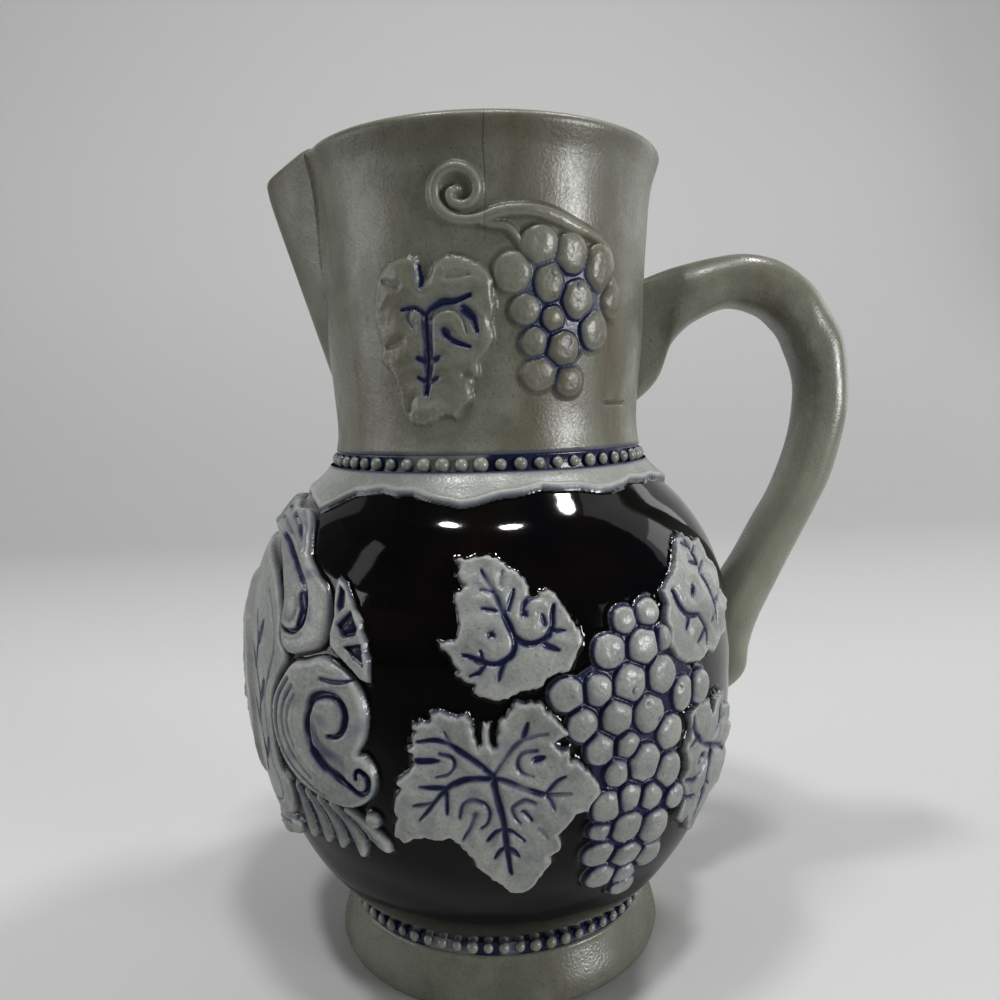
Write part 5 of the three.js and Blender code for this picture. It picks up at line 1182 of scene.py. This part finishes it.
bpy.context.collection.objects.link(sweep)

# Black cloth round the photographer's side and on the table, fading out under the pot. Only mirror-like
# reflections meet it, so that the dark glaze stays dark. It is open where the key light comes in.
CLOTH_LEVEL, CLOTH_RADIUS, CLOTH_MIDDLE_Y = 0.03, 1.9, 0.1
OPENING_FROM, OPENING_TO, OPENING_TOP = -44.5, -24.0, 20.0
CLOTH_TURNS = [-180, -160, -140, -120, -100, -80, -62, OPENING_FROM, OPENING_TO, -12,
               0, 20, 40, 60, 80, 100, 120, 150, 165, 180]
CLOTH_HEIGHTS = [0, OPENING_TOP, 40, 60, 75, 89.4]
cloth_points = []
for height in CLOTH_HEIGHTS:
    for turn in CLOTH_TURNS:
        a, e = math.radians(turn), math.radians(height)
        cloth_points.append((CLOTH_RADIUS * math.cos(a) * math.cos(e),
                             CLOTH_MIDDLE_Y + CLOTH_RADIUS * math.sin(a) * math.cos(e),
                             CLOTH_RADIUS * math.sin(e)))
cloth_faces = []
for corners in lattice(len(CLOTH_HEIGHTS), len(CLOTH_TURNS)).tolist():
    ring, step = divmod(corners[0], len(CLOTH_TURNS))
    behind = 0 <= CLOTH_TURNS[step] < 150 and CLOTH_HEIGHTS[ring] < 60
    at_key_light = CLOTH_TURNS[step] == OPENING_FROM and ring == 0
    if not behind and not at_key_light:
        cloth_faces.append(corners)
cloth_faces.append([len(cloth_points) + k for k in range(4)])
cloth_points += [(x, y, 0.0006) for x, y in ((-1.8, -1.7), (1.8, -1.7), (1.8, 0.25), (-1.8, 0.25))]
cloth_mesh = bpy.data.meshes.new("black_cloth")
cloth_mesh.from_pydata(cloth_points, [], cloth_faces)
cloth_mesh.materials.append(matte("black_cloth", CLOTH_LEVEL, CLOTH_LEVEL, 0, 1))
cloth_mesh.materials.append(matte("cloth_on_table", CLOTH_LEVEL, SWEEP_NEAR, -0.22, 0.25))
cloth_mesh.polygons[len(cloth_faces) - 1].material_index = 1
cloth = bpy.data.objects.new("black_cloth", cloth_mesh)
for kind_of_ray in ("camera", "diffuse", "transmission", "volume_scatter", "shadow"):
    setattr(cloth, "visible_" + kind_of_ray, False)
bpy.context.collection.objects.link(cloth)

# Light: a broad soft key from the right, a fill on each side, three small ceiling lamps and a window
# that show in the dark glaze, and a pale room that lights dimly but is seen pale.
LIT_PLACE = Vector((0, 0, 0.1))
ROOM_TINT, ROOM_LIGHT, ROOM_SEEN = (0.95, 0.97, 1.0, 1), 0.07, 0.49


def lamp(name, kind, place, power, **settings):
    light = bpy.data.lights.new(name, kind)
    light.energy = power
    for key, value in settings.items():
        setattr(light, key, value)
    obj = bpy.data.objects.new(name, light)
    obj.location = place
    obj.rotation_euler = (LIT_PLACE - Vector(place)).to_track_quat("-Z", "Y").to_euler()
    bpy.context.collection.objects.link(obj)


lamp("key_right", "SUN", (0.86, -0.53, 0.17), 2.0, angle=math.radians(20))
lamp("ceiling_one", "AREA", (-0.30, -0.22, 1.2), 3.9, shape="ELLIPSE", size=0.17, size_y=0.11)
lamp("ceiling_two", "AREA", (0.12, -0.32, 1.25), 4.0, shape="ELLIPSE", size=0.16, size_y=0.10)
lamp("ceiling_three", "AREA", (0.50, 0.10, 1.2), 4.4, shape="ELLIPSE", size=0.18, size_y=0.13)
lamp("fill_right", "AREA", (1.15, 0.55, 0.45), 2.2, shape="RECTANGLE", size=0.8, size_y=0.8)
lamp("fill_left", "AREA", (-1.15, -0.12, 0.32), 3.4, shape="RECTANGLE", size=0.8, size_y=0.6)
lamp("window_left", "AREA", (-0.98, -0.24, 0.82), 0.14, shape="RECTANGLE", size=0.18, size_y=0.34)

room = bpy.data.worlds.new("room")
room.use_nodes = True
room_air = room.node_tree.nodes["Background"]
room_air.inputs["Color"].default_value = ROOM_TINT
rays = room.node_tree.nodes.new("ShaderNodeLightPath").outputs
seen = rays["Is Camera Ray"]
for other_rays in ("Is Glossy Ray", "Is Transmission Ray"):
    either = room.node_tree.nodes.new("ShaderNodeMath")
    either.operation = "MAXIMUM"
    room.node_tree.links.new(seen, either.inputs[0])
    room.node_tree.links.new(rays[other_rays], either.inputs[1])
    seen = either.outputs[0]
room_level = room.node_tree.nodes.new("ShaderNodeMapRange")
room.node_tree.links.new(seen, room_level.inputs["Value"])
room_level.inputs["To Min"].default_value = ROOM_LIGHT
room_level.inputs["To Max"].default_value = ROOM_SEEN
room.node_tree.links.new(room_level.outputs["Result"], room_air.inputs["Strength"])
bpy.context.scene.world = room

# Camera: it stands close in front of the pot, a little above its middle, and looks slightly down with
# a small tilt to one side, as the photographer's did.
CAMERA_PLACE = (-0.00905, -0.22651, 0.14490)
CAMERA_PITCH, CAMERA_ROLL, CAMERA_TURN = 0.1199, 0.0250, math.radians(3.0)
ahead = Vector((math.sin(CAMERA_TURN), math.cos(CAMERA_TURN), 0)) * math.cos(CAMERA_PITCH)
ahead.z = -math.sin(CAMERA_PITCH)
right = Vector((math.cos(CAMERA_TURN), -math.sin(CAMERA_TURN), 0))
up = right.cross(ahead)
tilted_right = right * math.cos(CAMERA_ROLL) - up * math.sin(CAMERA_ROLL)
tilted_up = right * math.sin(CAMERA_ROLL) + up * math.cos(CAMERA_ROLL)
lens = bpy.data.cameras.new("photo_camera")
lens.lens = 30.18
lens.sensor_width = 36
lens.clip_start = 0.01
camera = bpy.data.objects.new("photo_camera", lens)
camera_axes = Matrix((tilted_right, tilted_up, -ahead)).transposed().to_4x4()
camera.matrix_world = Matrix.Translation(CAMERA_PLACE) @ camera_axes
bpy.context.collection.objects.link(camera)
bpy.context.scene.camera = camera
bpy.context.scene.view_settings.view_transform = "Standard"
